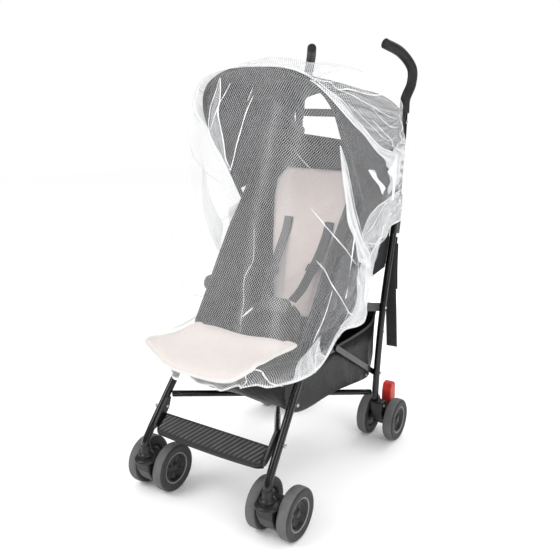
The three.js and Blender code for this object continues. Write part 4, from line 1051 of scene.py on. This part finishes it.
def joined(name, patches):
    """One piece of net over several grids of points, each with its gather."""
    points, faces, maps, values = [], [], [], []
    for grid, gather_at in patches:
        start = sum(len(p) for p in points)
        faces += [tuple(start + k for k in face) for face in grid_faces(*grid.shape[:2])]
        points.append(grid.reshape(-1, 3))
        maps.append(cloth_uv(grid) + 0.0013 * len(points))
        values.append(np.ravel(gather_at))
    obj = piece(name, np.concatenate(points), faces, NET, (), np.concatenate(maps))
    gathered(obj, np.concatenate(values))
    return obj


pleat_patches = []
across = steps(0, 1, 14)
for left_line, right_line, share in NET_PLEATS:
    left_edge, right_edge = flow(left_line, 90), flow(right_line, 90)
    spots = left_edge[:, None] + (right_edge - left_edge)[:, None] * across[:, None]
    points, outward = on_net(spots)
    along = steps(0, 1, 89)[:, None]
    rise = 1.2 + 2.2 * np.sin(math.pi * across)[None, :] * np.sin(math.pi * along) ** 0.4
    lines = np.sin(across * 16 + 3 * along + share * 40) * np.sin(across * 29 - 5 * along)
    pleat_patches.append((points + outward * rise[..., None], share * (1 + 0.55 * lines)))
pleats = joined("net_pleats", pleat_patches)

crease_patches = []
for places, width, strength in NET_CREASES:
    points, outward = on_net(flow(places, 24 + 10 * len(places)))
    heading = np.gradient(points, axis=0)
    sideways = np.cross(outward, heading)
    sideways /= np.maximum(np.linalg.norm(sideways, axis=1, keepdims=True), 1e-6)
    along = np.linspace(0, 1, len(points))[:, None]
    half = width / 2 * (0.25 + 0.75 * np.sin(math.pi * along) ** 0.5)
    half *= 1 + 0.18 * np.sin(along * 19 + width * 5)
    across_crease = np.array([-1, -0.5, 0, 0.5, 1])[None, :]
    ridge = 4.0 + 1.0 * (1 - across_crease ** 2)
    patch = points[:, None] + sideways[:, None] * (half * across_crease)[..., None]
    patch = patch + outward[:, None] * ridge[..., None]
    closed = (1 - 0.55 * across_crease ** 2) * (0.82 + 0.18 * np.sin(along * 31))
    crease_patches.append((patch, strength * closed))
creases = joined("net_creases", crease_patches)

# Floor, light and camera

floor = bpy.data.meshes.new("studio_floor")
floor.from_pydata([(-9, -9, 0), (9, -9, 0), (9, 9, 0), (-9, 9, 0)], [], [(0, 1, 2, 3)])
floor_object = bpy.data.objects.new("studio_floor", floor)
bpy.context.scene.collection.objects.link(floor_object)
floor_look = Look("pale_floor", 0.9, Base_Color=(0.985, 0.985, 0.985, 1), Specular_IOR_Level=0.0)
floor.materials.append(floor_look.material)

world = bpy.data.worlds.new("studio")
world.use_nodes = True
world.node_tree.nodes["Background"].inputs["Color"].default_value = (1, 1, 1, 1)
GLOSSY_CUT = -0.8
light_path = world.node_tree.nodes.new("ShaderNodeLightPath")
strength = world.node_tree.nodes.new("ShaderNodeMath")
strength.operation = "MULTIPLY_ADD"
world.node_tree.links.new(light_path.outputs["Is Glossy Ray"], strength.inputs[0])
strength.inputs[1].default_value = GLOSSY_CUT
strength.inputs[2].default_value = 1.0
world.node_tree.links.new(strength.outputs[0], world.node_tree.nodes["Background"].inputs["Strength"])
bpy.context.scene.world = world
bpy.context.scene.view_settings.view_transform = "Standard"


def softbox(name, position, target, size, power):
    data = bpy.data.lights.new(name, "AREA")
    data.shape = "SQUARE"
    data.size = size
    data.energy = power
    obj = bpy.data.objects.new(name, data)
    obj.location = position
    obj.rotation_euler = (Vector(target) - Vector(position)).to_track_quat("-Z", "Y").to_euler()
    bpy.context.scene.collection.objects.link(obj)


softbox("key", (-1.6, -2.4, 2.9), (0, 0, 0.5), 1.8, 60)
softbox("fill", (2.4, -1.2, 1.8), (0, 0, 0.5), 2.0, 25)
softbox("back", (0.4, 2.4, 2.6), (0, 0, 0.6), 1.8, 35)

CAMERA_PLACE = (0.8582, -1.0634, 0.8888)
AZIMUTH, PITCH, ROLL = (math.radians(a) for a in (32.672, 13.559, 0.433))
back = Vector((math.sin(AZIMUTH) * math.cos(PITCH), -math.cos(AZIMUTH) * math.cos(PITCH), math.sin(PITCH)))
right = (-back).cross(Vector((0, 0, 1))).normalized()
upward = right.cross(-back)
right_rolled = right * math.cos(ROLL) + upward * math.sin(ROLL)
upward_rolled = -right * math.sin(ROLL) + upward * math.cos(ROLL)
camera_data = bpy.data.cameras.new("camera")
camera_data.lens = 40.70
camera_data.sensor_width = 36
camera = bpy.data.objects.new("camera", camera_data)
pose = Matrix.Identity(4)
for column, axis in enumerate((right_rolled, upward_rolled, back)):
    for row in range(3):
        pose[row][column] = axis[row]
pose.translation = Vector(CAMERA_PLACE) + Vector((0, AXLE_Y, 0))
camera.matrix_world = pose
bpy.context.scene.collection.objects.link(camera)
bpy.context.scene.camera = camera
